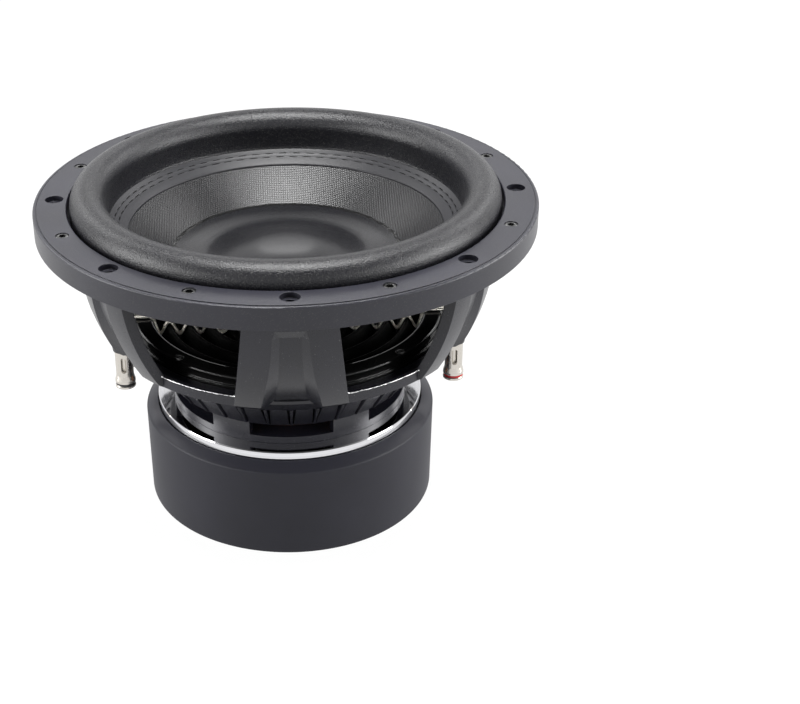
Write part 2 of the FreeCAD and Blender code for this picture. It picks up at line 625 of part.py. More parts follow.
# ---- trim ring ------------------------------------------------------------------------
def trim_ring():
    groove_out = RING_RADIUS - RING_GROOVE_INSET
    groove_in = groove_out - RING_GROOVE
    skirt_inner = RING_RADIUS - RING_SKIRT
    bend = RING_ROUND * (1 - math.sqrt(0.5))
    shoulder = ring_z - RING_EDGE_DROP
    ring = turned((ring_inner, rim_sheet_z), (ring_inner, ring_z - RING_ROUND),
                  (ring_inner + bend, ring_z - bend, ring_inner + RING_ROUND, ring_z),
                  (groove_in, ring_z), (groove_in, ring_z - RING_GROOVE), (groove_out, ring_z - RING_GROOVE),
                  (groove_out, shoulder), (RING_RADIUS - RING_ROUND, shoulder),
                  (RING_RADIUS - bend, shoulder - bend, RING_RADIUS, shoulder - RING_ROUND),
                  (RING_RADIUS, flange_z + FIT_GAP), (skirt_inner, flange_z + FIT_GAP),
                  (skirt_inner, rim_sheet_z))
    high = ring_z + 1
    holes = screw_holes(BOLT_HOLE_RADIUS, bolt_circle, BOLT_COUNT, flange_z, high, FRONT)
    holes += screw_holes(COUNTERBORE_RADIUS, bolt_circle, BOLT_COUNT, ring_z - COUNTERBORE_DEPTH, high,
                         FRONT)
    holes += screw_holes(RING_SCREW_RADIUS + FIT_GAP, bolt_circle, RING_SCREW_COUNT, flange_z, high,
                         ring_screw_first)
    holes += screw_holes(RING_SCREW_HEAD_RADIUS + FIT_GAP, bolt_circle, RING_SCREW_COUNT, ring_screw_seat,
                         high, ring_screw_first)
    return ring.cut(Part.makeCompound(holes))


def trim_ring_screws():
    screw = socket_screw(RING_SCREW_HEAD_RADIUS, RING_SCREW_HEAD_HEIGHT, RING_SCREW_RADIUS,
                         ring_screw_seat - flange_z - THREAD_END)
    screw.translate(Vector(bolt_circle, 0, ring_screw_seat))
    return Part.makeCompound(around(screw, RING_SCREW_COUNT, ring_screw_first))


# ---- surround, cone and coil ----------------------------------------------------------
def band_z(radius):
    return cone_z(radius) + BAND_SHEET


def surround():
    """Half-roll with its glued outer rim; its inner side ends just above the stitched band."""
    centre = (roll_outer + roll_inner) / 2
    crest = roll_side_z + ROLL_RISE
    foot = roll_inner + ROLL_WALL
    rim_outer = roll_outer + RIM_WIDTH
    roll = turned((roll_outer - ROLL_WALL, flange_top_z), (rim_outer, flange_top_z),
                  (rim_outer, rim_sheet_z), (roll_outer, rim_sheet_z), (roll_outer, roll_side_z),
                  (centre, crest, roll_inner, roll_side_z), (roll_inner, band_z(roll_inner) + SEAT_GAP),
                  (foot, band_z(foot) + SEAT_GAP), (foot, roll_side_z),
                  (centre, crest - ROLL_WALL, roll_outer - ROLL_WALL, roll_side_z))
    holes = screw_holes(BOLT_HOLE_RADIUS, bolt_circle, BOLT_COUNT, flange_z, ring_z, FRONT)
    holes += screw_holes(RING_SCREW_RADIUS + FIT_GAP, bolt_circle, RING_SCREW_COUNT, flange_z, ring_z,
                         ring_screw_first)
    return roll.cut(Part.makeCompound(holes))


def cone():
    neck = FORMER_RADIUS
    drop = CONE_SHEET / math.cos(math.radians(CONE_SLOPE))
    return turned((neck, cone_z(neck)), (neck, cone_z(neck) - drop),
                  (band_inner, cone_z(band_inner) - drop), (cone_edge, cone_edge_z - drop),
                  (cone_edge, cone_edge_z), (band_inner, cone_z(band_inner)))


def stitched_band():
    return turned((band_inner, cone_z(band_inner)), (cone_edge, cone_edge_z), (cone_edge, band_z(cone_edge)),
                  (band_inner, band_z(band_inner)))


def dust_cap():
    """Cap with a soft ridge, a shallow valley and a low crown, glued on the cone."""
    top_z = cone_z(CAP_RADIUS) + CAP_SHEET
    valley = CAP_RADIUS - CAP_VALLEY_INSET
    profile = ((CAP_RADIUS, 0), (CAP_RADIUS - CAP_RIDGE_INSET, CAP_RIDGE_RISE), (valley, -CAP_VALLEY_DROP),
               (valley * CAP_SHOULDER, CAP_CROWN * CAP_SHOULDER_RISE), (0, CAP_CROWN))
    top = [Vector(radius, 0, top_z + rise) for radius, rise in profile]
    low = [point - Vector(0, 0, CAP_SHEET) for point in top]
    ends = {"InitialTangent": Vector(-1, 0, CAP_EDGE_SLOPE), "FinalTangent": Vector(-1, 0, 0)}
    upper = Part.BSplineCurve()
    upper.interpolate(Points=top, **ends)
    lower = Part.BSplineCurve()
    lower.interpolate(Points=low, **ends)
    edges = [upper.toShape(), Part.LineSegment(top[-1], low[-1]).toShape(), lower.toShape(),
             Part.LineSegment(low[0], top[0]).toShape()]
    face = Part.Face(Part.Wire(Part.__sortEdges__(edges)))
    return face.revolve(Vector(0, 0, 0), Vector(0, 0, 1), 360)


def voice_coil_former():
    low = gap_middle_z - WINDING_HEIGHT / 2 - FORMER_TAIL
    return tube(FORMER_RADIUS - FORMER_WALL, FORMER_RADIUS, low, cone_z(FORMER_RADIUS) + FORMER_STUB)


def voice_coil_windings():
    """Two windings, one over the other, as on a dual-coil driver."""
    low = gap_middle_z - WINDING_HEIGHT / 2
    middle = FORMER_RADIUS + WINDING_THICKNESS / 2
    inner = tube(FORMER_RADIUS, middle, low, low + WINDING_HEIGHT)
    outer = tube(middle, winding_radius, low + WINDING_INSET, low + WINDING_HEIGHT - WINDING_INSET)
    return Part.makeCompound([inner, outer])


# ---- spider ---------------------------------------------------------------------------
def spider_waves():
    """Points of the spider's middle line from the seat inwards: (radius, height)."""
    middle_z = seat_z + SPIDER_SHEET / 2
    first_low = seat_inner - SPIDER_LAND
    half = SPIDER_FLAT / 2
    low_z = middle_z - SPIDER_SWING
    high_z = middle_z + SPIDER_SWING
    points = []
    for k in range(SPIDER_WAVES):
        low = first_low - k * SPIDER_PITCH
        points += [(low + half, low_z), (low - half, low_z)]
        high = low - SPIDER_PITCH / 2
        if high - half > FORMER_RADIUS + SPIDER_END:
            points += [(high + half, high_z), (high - half, high_z)]
    return points, middle_z


def spider():
    """Corrugated cloth disc, clamped on the shoulder's seat and glued to the former."""
    points, middle_z = spider_waves()
    half = SPIDER_SHEET / 2
    inner = FORMER_RADIUS + SEAT_GAP
    upper = [(clamp_outer, middle_z + half), (seat_inner, middle_z + half)]
    lower = [(clamp_outer, middle_z - half), (seat_inner, middle_z - half)]
    for r, z in points:
        upper.append((r, z + half))
        lower.append((r, z - half))
    upper.append((inner, middle_z + half))
    lower.append((inner, middle_z - half))
    disc = turned(*(upper + lower[::-1]))
    holes = screw_holes(CLAMP_SCREW_RADIUS + FIT_GAP, clamp_screw_circle, CLAMP_SCREW_COUNT, seat_z - 1,
                        seat_z + SPIDER_SHEET + 1, FRONT)
    return disc.cut(Part.makeCompound(holes))


def clamp_ring():
    low = seat_z + SPIDER_SHEET
    inner = seat_inner + CLAMP_INSET
    body = clamp_outer - CLAMP_STEP
    step_z = low + CLAMP_STEP_HEIGHT
    ring = turned((inner, low), (clamp_outer, low), (clamp_outer, step_z), (body, step_z),
                  (body, clamp_top_z - CLAMP_BEVEL), (body - CLAMP_BEVEL, clamp_top_z),
                  (inner + CLAMP_BEVEL, clamp_top_z), (inner, clamp_top_z - CLAMP_BEVEL))
    head_seat = clamp_top_z - CLAMP_SCREW_HEAD_HEIGHT
    high = clamp_top_z + 1
    holes = screw_holes(CLAMP_SCREW_RADIUS + FIT_GAP, clamp_screw_circle, CLAMP_SCREW_COUNT, low - 1, high,
                        FRONT)
    holes += screw_holes(CLAMP_SCREW_HEAD_RADIUS + FIT_GAP, clamp_screw_circle, CLAMP_SCREW_COUNT,
                         head_seat, high, FRONT)
    return ring.cut(Part.makeCompound(holes))


def clamp_screws():
    screw = socket_screw(CLAMP_SCREW_HEAD_RADIUS, CLAMP_SCREW_HEAD_HEIGHT, CLAMP_SCREW_RADIUS,
                         CLAMP_SCREW_LENGTH)
    screw.translate(Vector(clamp_screw_circle, 0, clamp_top_z - CLAMP_SCREW_HEAD_HEIGHT))
    return Part.makeCompound(around(screw, CLAMP_SCREW_COUNT, FRONT))


# ---- terminals and leads --------------------------------------------------------------
def terminal_group(shape_at_axis):
    """The same shape at all four terminals."""
    circle, azimuths = terminal_places()
    shapes = []
    for azimuth in azimuths.values():
        copy = shape_at_axis.copy()
        copy.translate(at(circle, azimuth))
        shapes.append(copy)
    return Part.makeCompound(shapes)


def sleeve_top():
    return ledge_z - COLLAR_HEIGHT + SLEEVE_OVERLAP


def post_head_z():
    """Underside of the post's head inside the sleeve."""
    return sleeve_top() - SLEEVE_LENGTH + COLOUR_RING_HEIGHT + TERMINAL_TRAVEL + POST_POCKET_GAP


def terminal_collars():
    low = ledge_z - COLLAR_HEIGHT
    bore = SLEEVE_RADIUS + FIT_GAP
    bore_top = ledge_z - COLLAR_BASE
    collar = turned((bore, low), (COLLAR_TIP_RADIUS, low), (COLLAR_RADIUS, low + COLLAR_TAPER),
                    (COLLAR_RADIUS, ledge_z), (POST_RADIUS + FIT_GAP, ledge_z),
                    (POST_RADIUS + FIT_GAP, bore_top), (bore, bore_top))
    return terminal_group(collar)


def terminal_posts():
    head_low = post_head_z()
    top = sill_z + NUT_HEIGHT + POST_PROUD
    post = rod(POST_HEAD_RADIUS, head_low, head_low + POST_HEAD_LENGTH).fuse(rod(POST_RADIUS, head_low, top))
    hole_z = sleeve_top() - TERMINAL_SLOT_START + WIRE_HOLE_RADIUS
    reach = 2 * POST_RADIUS
    hole = Part.makeCylinder(WIRE_HOLE_RADIUS, 2 * reach, Vector(0, -reach, hole_z), Vector(0, 1, 0))
    return terminal_group(post.cut(hole).removeSplitter())


def terminal_nuts():
    low = sill_z
    thread = rod(POST_RADIUS + THREAD_GAP, low - 1, low + NUT_HEIGHT + 1)
    return terminal_group(hex_prism(NUT_ACROSS, low, low + NUT_HEIGHT).cut(thread))


def terminal_spring():
    """Envelope of the coil spring between a collar's base and its sleeve."""
    return tube(POST_RADIUS + SPRING_POST_GAP, SLEEVE_RADIUS - SPRING_SIDE_GAP, sleeve_top(),
                ledge_z - COLLAR_BASE)


def terminal_sleeve():
    top = sleeve_top()
    low = top - SLEEVE_LENGTH + COLOUR_RING_HEIGHT
    flare = SLEEVE_RADIUS + SLEEVE_FLARE
    pocket = POST_HEAD_RADIUS + POST_POCKET_GAP
    shoulder = post_head_z() + POST_HEAD_LENGTH + FIT_GAP
    sleeve = turned((SLEEVE_BORE, top), (SLEEVE_RADIUS, top), (SLEEVE_RADIUS, low + SLEEVE_FLARE_LENGTH),
                    (flare, low + SLEEVE_RIM), (flare, low), (pocket, low), (pocket, shoulder),
                    (SLEEVE_BORE, shoulder))
    half = TERMINAL_SLOT_WIDTH / 2
    slot_high = top - TERMINAL_SLOT_START
    slot_low = slot_high - TERMINAL_SLOT_LENGTH
    reach = SLEEVE_RADIUS + 2
    slot = Part.makeBox(2 * half, 2 * reach, slot_high - slot_low - 2 * half,
                        Vector(-half, -reach, slot_low + half))
    for z in (slot_low + half, slot_high - half):
        slot = slot.fuse(Part.makeCylinder(half, 2 * reach, Vector(0, -reach, z), Vector(0, 1, 0)))
    return sleeve.cut(slot).removeSplitter()


def terminal_colour_ring():
    high = sleeve_top() - SLEEVE_LENGTH + COLOUR_RING_HEIGHT
    return tube(POST_HEAD_RADIUS + POST_POCKET_GAP, SLEEVE_RADIUS + SLEEVE_FLARE - COLOUR_RING_INSET,
                high - COLOUR_RING_HEIGHT, high)


def terminal_cap():
    high = sleeve_top() - SLEEVE_LENGTH
    low = high - CAP_DISC_HEIGHT
    inside = CAP_DISC_RADIUS - CAP_DISC_EDGE
    return turned((0, low), (inside, low), (CAP_DISC_RADIUS, low + CAP_DISC_EDGE),
                  (CAP_DISC_RADIUS, high - CAP_DISC_EDGE), (inside, high), (0, high))


def tinsel_lead():
    """Flat lead from a terminal's nut, over the clamp ring and down the spider, along +X at Y 0."""
    aside = TERMINAL_SPREAD / 2
    circle, _ = terminal_places()
    points, middle_z = spider_waves()
    lift = SPIDER_SHEET / 2 + LEAD_LIFT
    over_z = clamp_top_z + LEAD_OVER_RING
    inner = seat_inner + CLAMP_INSET
    lug_z = sill_z + NUT_HEIGHT + FIT_GAP
    route = [(circle - POST_RADIUS - LEAD_LUG_GAP, lug_z), (clamp_outer, over_z), (inner, over_z),
             (seat_inner + LEAD_DROP_GAP, (over_z + middle_z) / 2)]
    route += [(radius, z + lift) for radius, z in points]
    end_x = math.sqrt((FORMER_RADIUS + SEAT_GAP) ** 2 - (aside - LEAD_WIDTH / 2) ** 2)
    route.append((math.hypot(end_x, aside), middle_z + lift))
    line = [(math.sqrt(radius ** 2 - aside ** 2), z) for radius, z in route]
    upper = [(x, z + LEAD_THICKNESS) for x, z in line]
    return slab(line + upper[::-1], -LEAD_WIDTH / 2, LEAD_WIDTH / 2)


def leads(side):
    """Both leads of one side, parallel to each other."""
    pair = []
    for aside in (-TERMINAL_SPREAD / 2, TERMINAL_SPREAD / 2):
        lead = tinsel_lead()
        lead.translate(Vector(0, aside, 0))
        pair.append(lead)
    return spun(Part.makeCompound(pair), 0.0 if side == "right" else 180.0)


# ---- nodes ----------------------------------------------------------------------------
def moved(shape, place):
    shape.translate(place)
    return shape


def all_nodes():
    nodes = {
        "back_plate": back_plate(),
        "back_plate_screws": back_plate_screws(),
        "pole_piece": pole_piece(),
        "magnet_lower": magnet(0),
        "magnet_upper": magnet(MAGNET_COUNT - 1),
        "top_plate": top_plate(),
        "motor_boot": motor_boot(),
        "basket": basket(),
        "basket_screws": foot_screws(),
        "trim_ring": trim_ring(),
        "trim_ring_screws": trim_ring_screws(),
        "surround_roll": surround(),
        "stitched_band": stitched_band(),
        "cone": cone(),
        "dust_cap": dust_cap(),
        "voice_coil_former": voice_coil_former(),
        "voice_coil_windings": voice_coil_windings(),
        "spider": spider(),
        "spider_clamp_ring": clamp_ring(),
        "spider_clamp_screws": clamp_screws(),
        "tinsel_leads_left": leads("left"),
        "tinsel_leads_right": leads("right"),
        "terminal_collars": terminal_collars(),
        "terminal_posts": terminal_posts(),
        "terminal_nuts": terminal_nuts(),
    }
    circle, azimuths = terminal_places()
    for name, azimuth in azimuths.items():
        place = at(circle, azimuth)
        nodes["terminal_spring_" + name] = moved(terminal_spring(), place)
        nodes["terminal_sleeve_" + name] = moved(terminal_sleeve(), place)
        nodes["terminal_colour_ring_" + name] = moved(terminal_colour_ring(), place)
        nodes["terminal_cap_" + name] = moved(terminal_cap(), place)
    return nodes


os.makedirs("parts", exist_ok=True)
for node, shape in all_nodes().items():
    print(node, len(shape.Solids), shape.isValid(), round(shape.Volume))
    shape.exportStep(os.path.join("parts", node + ".step"))
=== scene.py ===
import math

import bmesh
import bpy
from mathutils import Matrix, Vector, noise


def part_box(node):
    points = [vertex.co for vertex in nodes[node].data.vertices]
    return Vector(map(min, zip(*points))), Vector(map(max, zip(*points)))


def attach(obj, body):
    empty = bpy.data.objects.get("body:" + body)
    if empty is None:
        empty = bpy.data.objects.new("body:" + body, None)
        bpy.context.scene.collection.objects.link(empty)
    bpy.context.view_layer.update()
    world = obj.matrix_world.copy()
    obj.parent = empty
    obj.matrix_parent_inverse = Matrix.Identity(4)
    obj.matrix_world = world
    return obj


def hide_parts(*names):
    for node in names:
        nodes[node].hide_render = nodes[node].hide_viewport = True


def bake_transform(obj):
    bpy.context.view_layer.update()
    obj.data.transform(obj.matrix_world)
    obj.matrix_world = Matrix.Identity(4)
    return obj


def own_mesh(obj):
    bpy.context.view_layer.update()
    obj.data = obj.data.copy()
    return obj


# A long-throw subwoofer driver. Objects are in metres. The sizes below are in millimetres, and
# MM turns them into metres where they are used. The axis of the driver is Z.
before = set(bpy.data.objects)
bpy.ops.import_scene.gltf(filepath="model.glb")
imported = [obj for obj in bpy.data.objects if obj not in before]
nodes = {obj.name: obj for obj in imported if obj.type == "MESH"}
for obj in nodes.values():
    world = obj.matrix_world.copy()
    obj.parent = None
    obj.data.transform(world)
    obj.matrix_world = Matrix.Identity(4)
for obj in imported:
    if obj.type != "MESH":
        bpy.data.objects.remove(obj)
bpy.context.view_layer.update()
MM = 0.001
WHITE = (1, 1, 1, 1)
PLACES = ("left_front", "left_rear", "right_front", "right_rear")
BLACK_PLACES = ("left_front", "right_rear")


# ---- wiring of node trees ----
class Graph:
    """A node tree that is being wired, for shaders and for geometry alike."""

    def __init__(self, tree):
        self.tree = tree

    def add(self, kind, values=None, **settings):
        node = self.tree.nodes.new(kind)
        for name, value in settings.items():
            setattr(node, name, value)
        for name, value in (values or {}).items():
            self.feed(node.inputs[name], value)
        return node

    def feed(self, socket, value):
        if isinstance(value, bpy.types.NodeSocket):
            self.tree.links.new(value, socket)
        else:
            socket.default_value = value

    def math(self, operation, first, second=0.0, third=0.0):
        node = self.add("ShaderNodeMath", operation=operation)
        for socket, value in zip(node.inputs, (first, second, third)):
            self.feed(socket, value)
        return node.outputs[0]

    def mix(self, share, first, second):
        node = self.add("ShaderNodeMix", data_type="RGBA")
        self.feed(node.inputs["Factor"], share)
        self.feed(node.inputs[6], first)
        self.feed(node.inputs[7], second)
        return node.outputs[2]

    def span(self, value, low, high, to_low, to_high):
        limits = {"From Min": low, "From Max": high, "To Min": to_low, "To Max": to_high}
        node = self.add("ShaderNodeMapRange", limits)
        self.feed(node.inputs["Value"], value)
        return node.outputs["Result"]

    def noise(self, place, **values):
        return self.add("ShaderNodeTexNoise", {"Vector": place, **values}).outputs

    def vector(self, x=0.0, y=0.0, z=0.0):
        return self.add("ShaderNodeCombineXYZ", {"X": x, "Y": y, "Z": z}).outputs["Vector"]

    def parts(self, vector):
        return self.add("ShaderNodeSeparateXYZ", {"Vector": vector}).outputs

    def joined(self, operation, first, second):
        node = self.add("ShaderNodeVectorMath", operation=operation)
        self.feed(node.inputs[0], first)
        self.feed(node.inputs[3 if operation == "SCALE" else 1], second)
        return node.outputs[0]

    def place(self):
        """Place on the object itself."""
        return self.add("ShaderNodeTexCoord").outputs["Object"]

    def distance(self, parts):
        """Distance from the axis."""
        flat = self.vector(parts["X"], parts["Y"])
        length = self.add("ShaderNodeVectorMath", {0: flat}, operation="LENGTH")
        return length.outputs["Value"]


def new_group(name, kind, inputs, outputs):
    """An empty node group with named inputs and outputs, and the graph to wire it."""
    tree = bpy.data.node_groups.new(name, kind)
    for label, socket_type in inputs.items():
        tree.interface.new_socket(label, in_out="INPUT", socket_type="NodeSocket" + socket_type)
    for label, socket_type in outputs.items():
        tree.interface.new_socket(label, in_out="OUTPUT", socket_type="NodeSocket" + socket_type)
    graph = Graph(tree)
    graph.given = graph.add("NodeGroupInput").outputs
    graph.result = graph.add("NodeGroupOutput").inputs
    return graph


# ---- shader groups ----
NOISE_LOW, NOISE_HIGH = 0.3, 0.7       # most values of a noise lie between these
CLOUD_SCALE = 22.0                     # broad clouds of tone, per metre
GRAIN_REACH = 0.45                     # radius of a glinting grain, as a share of its cell
SWAY_SCALE, SWAY = 30.0, 0.0012        # slow wander of a cloth's threads, per metre and in metres
THREAD_CREST = 0.35                    # part of a thread's height that rises only at its crest
FIBRE_SCALE = 2600.0                   # loose fibres on the threads, per metre


def grain_group():
    """Fine moulded or sprayed grain: a height, a mask of the few grains that glint, and clouds."""
    graph = new_group("fine_grain", "ShaderNodeTree",
                      {"Grain Size": "Float", "Glint Share": "Float"},
                      {"Height": "Float", "Glint": "Float", "Cloud": "Float"})
    place = graph.place()
    fineness = graph.math("DIVIDE", 1.0, graph.given["Grain Size"])
    grains = graph.noise(place, Scale=fineness, Detail=2.0, Roughness=0.6)
    specks = graph.add("ShaderNodeTexVoronoi", {"Vector": place, "Scale": fineness}).outputs
    broad = graph.noise(place, Scale=CLOUD_SCALE, Detail=3.0)
    chance = graph.add("ShaderNodeSeparateColor", {"Color": specks["Color"]}).outputs["Red"]
    near = graph.math("LESS_THAN", specks["Distance"], GRAIN_REACH)
    chosen = graph.math("LESS_THAN", chance, graph.given["Glint Share"])
    graph.feed(graph.result["Height"], grains["Fac"])
    graph.feed(graph.result["Glint"], graph.math("MULTIPLY", chosen, near))
    graph.feed(graph.result["Cloud"], graph.span(broad["Fac"], NOISE_LOW, NOISE_HIGH, 0.0, 1.0))
    return graph.tree


def turning_group():
    """Rings left by turning: a height that changes with the distance from the axis."""
    graph = new_group("turning_marks", "ShaderNodeTree", {"Pitch": "Float"},
                      {"Height": "Float", "Tone": "Float"})
    parts = graph.parts(graph.place())
    turns = graph.math("DIVIDE", graph.distance(parts), graph.given["Pitch"])
    level = graph.math("DIVIDE", parts["Z"], graph.given["Pitch"])
    marks = graph.noise(graph.vector(turns, 0.0, level), Scale=1.0, Detail=3.0)
    graph.feed(graph.result["Height"], marks["Fac"])
    graph.feed(graph.result["Tone"], graph.span(marks["Fac"], NOISE_LOW, NOISE_HIGH, 0.0, 1.0))
    return graph.tree


def weave_group():
    """Plain cloth pressed over X and Y: threads that pass over one and under one."""
    graph = new_group("plain_weave", "ShaderNodeTree", {"Pitch": "Float", "Turn": "Float"},
                      {"Height": "Float", "Warp": "Float", "Fray": "Float"})
    place = graph.place()
    sway = graph.noise(place, Scale=SWAY_SCALE, Detail=1.0)["Color"]
    swayed = graph.joined("ADD", place, graph.joined("SCALE", sway, SWAY))
    turned = graph.add("ShaderNodeVectorRotate", {"Vector": swayed, "Angle": graph.given["Turn"]},
                       rotation_type="Z_AXIS")
    parts = graph.parts(turned.outputs["Vector"])
    across = graph.math("DIVIDE", parts["X"], graph.given["Pitch"])
    along = graph.math("DIVIDE", parts["Y"], graph.given["Pitch"])
    thread = graph.math("ADD", graph.math("FLOOR", across), graph.math("FLOOR", along))
    over = graph.math("LESS_THAN", graph.math("FLOORED_MODULO", thread, 2.0), 0.5)
    crown_x = graph.math("SINE", graph.math("MULTIPLY", graph.math("FRACT", across), math.pi))
    crown_y = graph.math("SINE", graph.math("MULTIPLY", graph.math("FRACT", along), math.pi))
    swell_y = graph.math("MULTIPLY_ADD", crown_y, THREAD_CREST, 1 - THREAD_CREST)
    swell_x = graph.math("MULTIPLY_ADD", crown_x, THREAD_CREST, 1 - THREAD_CREST)
    height = graph.add("ShaderNodeMix", {"Factor": over}, data_type="FLOAT")
    graph.feed(height.inputs[2], graph.math("MULTIPLY", crown_y, swell_x))
    graph.feed(height.inputs[3], graph.math("MULTIPLY", crown_x, swell_y))
    fibres = graph.noise(place, Scale=FIBRE_SCALE, Detail=1.0)
    graph.feed(graph.result["Height"], height.outputs[0])
    graph.feed(graph.result["Warp"], over)
    graph.feed(graph.result["Fray"], fibres["Fac"])
    return graph.tree


GRAIN = grain_group()
TURNING = turning_group()
WEAVE = weave_group()


# ---- materials ----
BEVEL_SAMPLES = 6
GRAIN_UNEVEN = 0.05                    # roughness that a grain adds or takes
TURNED_SMOOTHER, TURNED_ROUGHER = 0.03, 0.04
WEFT_ROUGHER = 0.16                    # roughness of the weft above the warp's
WEAVE_SHADE = 0.3                      # painted shade left between the threads
FRAY_SHARE = 0.25                      # height of the fibres beside the threads'

SPOKES = 6
SILL_TOP, SILL_FACE = 139.5, 117.4     # edge of the band under the windows: level and radius
CHIP_SCALE = 900.0                     # chips along that edge, per metre
CHIP_LOW, CHIP_HIGH = 0.35, 0.65
CHIP_NARROW, CHIP_WIDE = 0.1, 0.6      # width of the bright line: wear and a painted highlight on the edge
BETWEEN_SPOKES = 0.2                   # cosine that is passed where no spoke crosses the band

BOOT_SHOULDER = 73.9                   # level where the boot's side ends
# levels where the top is smoother and also painted lighter as sheen
PRESSED_SHEEN_FROM, PRESSED_SHEEN_TO = BOOT_SHOULDER - 1.0, BOOT_SHOULDER + 0.5
BOOT_ROUGHNESS, PRESSED_ROUGHNESS = 0.55, 0.4


def grey(level, blue=0.0):
    return (level, level, level * (1 + blue), 1.0)


def finish(name, roughness, metallic=0.0, **plain):
    """A Principled material with its plain values set, and its graph."""
    material = bpy.data.materials.new(name)
    material.use_nodes = True
    graph = Graph(material.node_tree)
    graph.surface = material.node_tree.nodes["Principled BSDF"].inputs
    graph.surface["Roughness"].default_value = roughness
    graph.surface["Metallic"].default_value = metallic
    for label, value in plain.items():
        graph.surface[label.replace("_", " ")].default_value = value
    graph.material = material
    return graph


def placed(graph, tree, **values):
    """Outputs of a shader group that is placed in a material."""
    node = graph.add("ShaderNodeGroup", node_tree=tree)
    for label, value in values.items():
        graph.feed(node.inputs[label.replace("_", " ")], value)
    return node.outputs


def relief(graph, height, depth, rounding=0.0):
    """Bump of a height, over edges that catch the light as if rounded."""
    bump = graph.add("ShaderNodeBump", {"Height": height, "Distance": depth * MM, "Strength": 1.0})
    if rounding:
        edge = graph.add("ShaderNodeBevel", {"Radius": rounding * MM}, samples=BEVEL_SAMPLES)
        graph.feed(bump.inputs["Normal"], edge.outputs["Normal"])
    graph.feed(graph.surface["Normal"], bump.outputs["Normal"])


def coat(name, dark, light, roughness, grain, depth, glints=0.0, glint=WHITE, rounding=0.0,
         **plain):
    """Sprayed or moulded finish: two close tones, a fine grain and a few glinting grains."""
    graph = finish(name, roughness, **plain)
    marks = placed(graph, GRAIN, Grain_Size=grain * MM, Glint_Share=glints)
    tone = graph.mix(marks["Glint"], graph.mix(marks["Cloud"], dark, light), glint)
    graph.feed(graph.surface["Base Color"], tone)
    uneven = graph.span(marks["Height"], NOISE_LOW, NOISE_HIGH,
                        roughness - GRAIN_UNEVEN, roughness + GRAIN_UNEVEN)
    graph.feed(graph.surface["Roughness"], uneven)
    relief(graph, marks["Height"], depth, rounding)
    return graph


def coated(*values, **plain):
    return coat(*values, **plain).material


def machined(name, dark, light, roughness, pitch, depth):
    """Turned metal: rings of two tones and a fine relief."""
    graph = finish(name, roughness, metallic=1.0)
    marks = placed(graph, TURNING, Pitch=pitch * MM)
    graph.feed(graph.surface["Base Color"], graph.mix(marks["Tone"], dark, light))
    uneven = graph.span(marks["Tone"], 0.0, 1.0,
                        roughness - TURNED_SMOOTHER, roughness + TURNED_ROUGHER)
    graph.feed(graph.surface["Roughness"], uneven)
    relief(graph, marks["Height"], depth)
    return graph.material


def woven(name, warp, weft, roughness, pitch, turn, depth, **plain):
    """Woven cloth whose warp is a little smoother than its weft, with painted sheen on the warp and
    painted shade between the threads.
    """
    graph = finish(name, roughness, **plain)
    marks = placed(graph, WEAVE, Pitch=pitch * MM, Turn=turn)
    # the warp's lighter tone is painted sheen, and the darkening by height is painted shade
    thread = graph.mix(marks["Warp"], weft, warp)
    shade = graph.span(marks["Height"], 0.0, 1.0, WEAVE_SHADE, 1.0)
    graph.feed(graph.surface["Base Color"], graph.joined("SCALE", thread, shade))
    rough = graph.math("MULTIPLY_ADD", marks["Warp"], -WEFT_ROUGHER, roughness + WEFT_ROUGHER)
    graph.feed(graph.surface["Roughness"], rough)
    fray = graph.math("MULTIPLY", marks["Fray"], FRAY_SHARE)
    relief(graph, graph.math("ADD", marks["Height"], fray), depth)
    return graph.material


def basket_finish():
    """Powder coat, with a broken line of bright metal along the band under the windows as wear and
    painted highlight.
    """
    graph = coat("basket_powder_coat", grey(0.008, 0.6), grey(0.011, 0.6), roughness=0.3,
                 grain=0.4, depth=0.008, glints=0.006, glint=grey(0.2), rounding=0.7)
    place = graph.place()
    parts = graph.parts(place)
    chips = graph.noise(place, Scale=CHIP_SCALE, Detail=1.0)["Fac"]
    width = graph.span(chips, CHIP_LOW, CHIP_HIGH, CHIP_NARROW * MM, CHIP_WIDE * MM)
    above = graph.math("SUBTRACT", parts["Z"], SILL_TOP * MM)
    outside = graph.math("SUBTRACT", graph.distance(parts), SILL_FACE * MM)
    away = graph.math("MAXIMUM", graph.math("ABSOLUTE", above), graph.math("ABSOLUTE", outside))
    azimuth = graph.math("ARCTAN2", parts["Y"], parts["X"])
    between = graph.math("COSINE", graph.math("MULTIPLY", azimuth, float(SPOKES)))
    free = graph.math("GREATER_THAN", between, BETWEEN_SPOKES)
    # bright metal line on the edge of the band: a painted highlight, also standing for wear
    glint_and_wear_line = graph.math("MULTIPLY", graph.math("LESS_THAN", away, width), free)
    tone = graph.surface["Base Color"].links[0].from_socket
    graph.feed(graph.surface["Base Color"], graph.mix(glint_and_wear_line, tone, grey(0.85)))
    graph.feed(graph.surface["Metallic"], glint_and_wear_line)
    return graph.material


def boot_finish():
    """Matt rubber whose press-moulded top edge is smoother than its side, and painted lighter there
    as sheen.
    """
    graph = finish("boot_rubber", BOOT_ROUGHNESS, Specular_IOR_Level=0.3)
    marks = placed(graph, GRAIN, Grain_Size=0.35 * MM, Glint_Share=0.0)
    level = graph.parts(graph.place())["Z"]
    pressed_and_sheen = graph.span(level, PRESSED_SHEEN_FROM * MM, PRESSED_SHEEN_TO * MM, 0.0, 1.0)
    side = graph.mix(marks["Cloud"], grey(0.014, 0.4), grey(0.019, 0.4))
    # the lighter tone on the smoother top is painted sheen
    graph.feed(graph.surface["Base Color"], graph.mix(pressed_and_sheen, side, grey(0.026, 0.35)))
    rough = graph.span(pressed_and_sheen, 0.0, 1.0, BOOT_ROUGHNESS, PRESSED_ROUGHNESS)
    graph.feed(graph.surface["Roughness"], rough)
    relief(graph, marks["Height"], depth=0.006, rounding=0.8)
    return graph.material


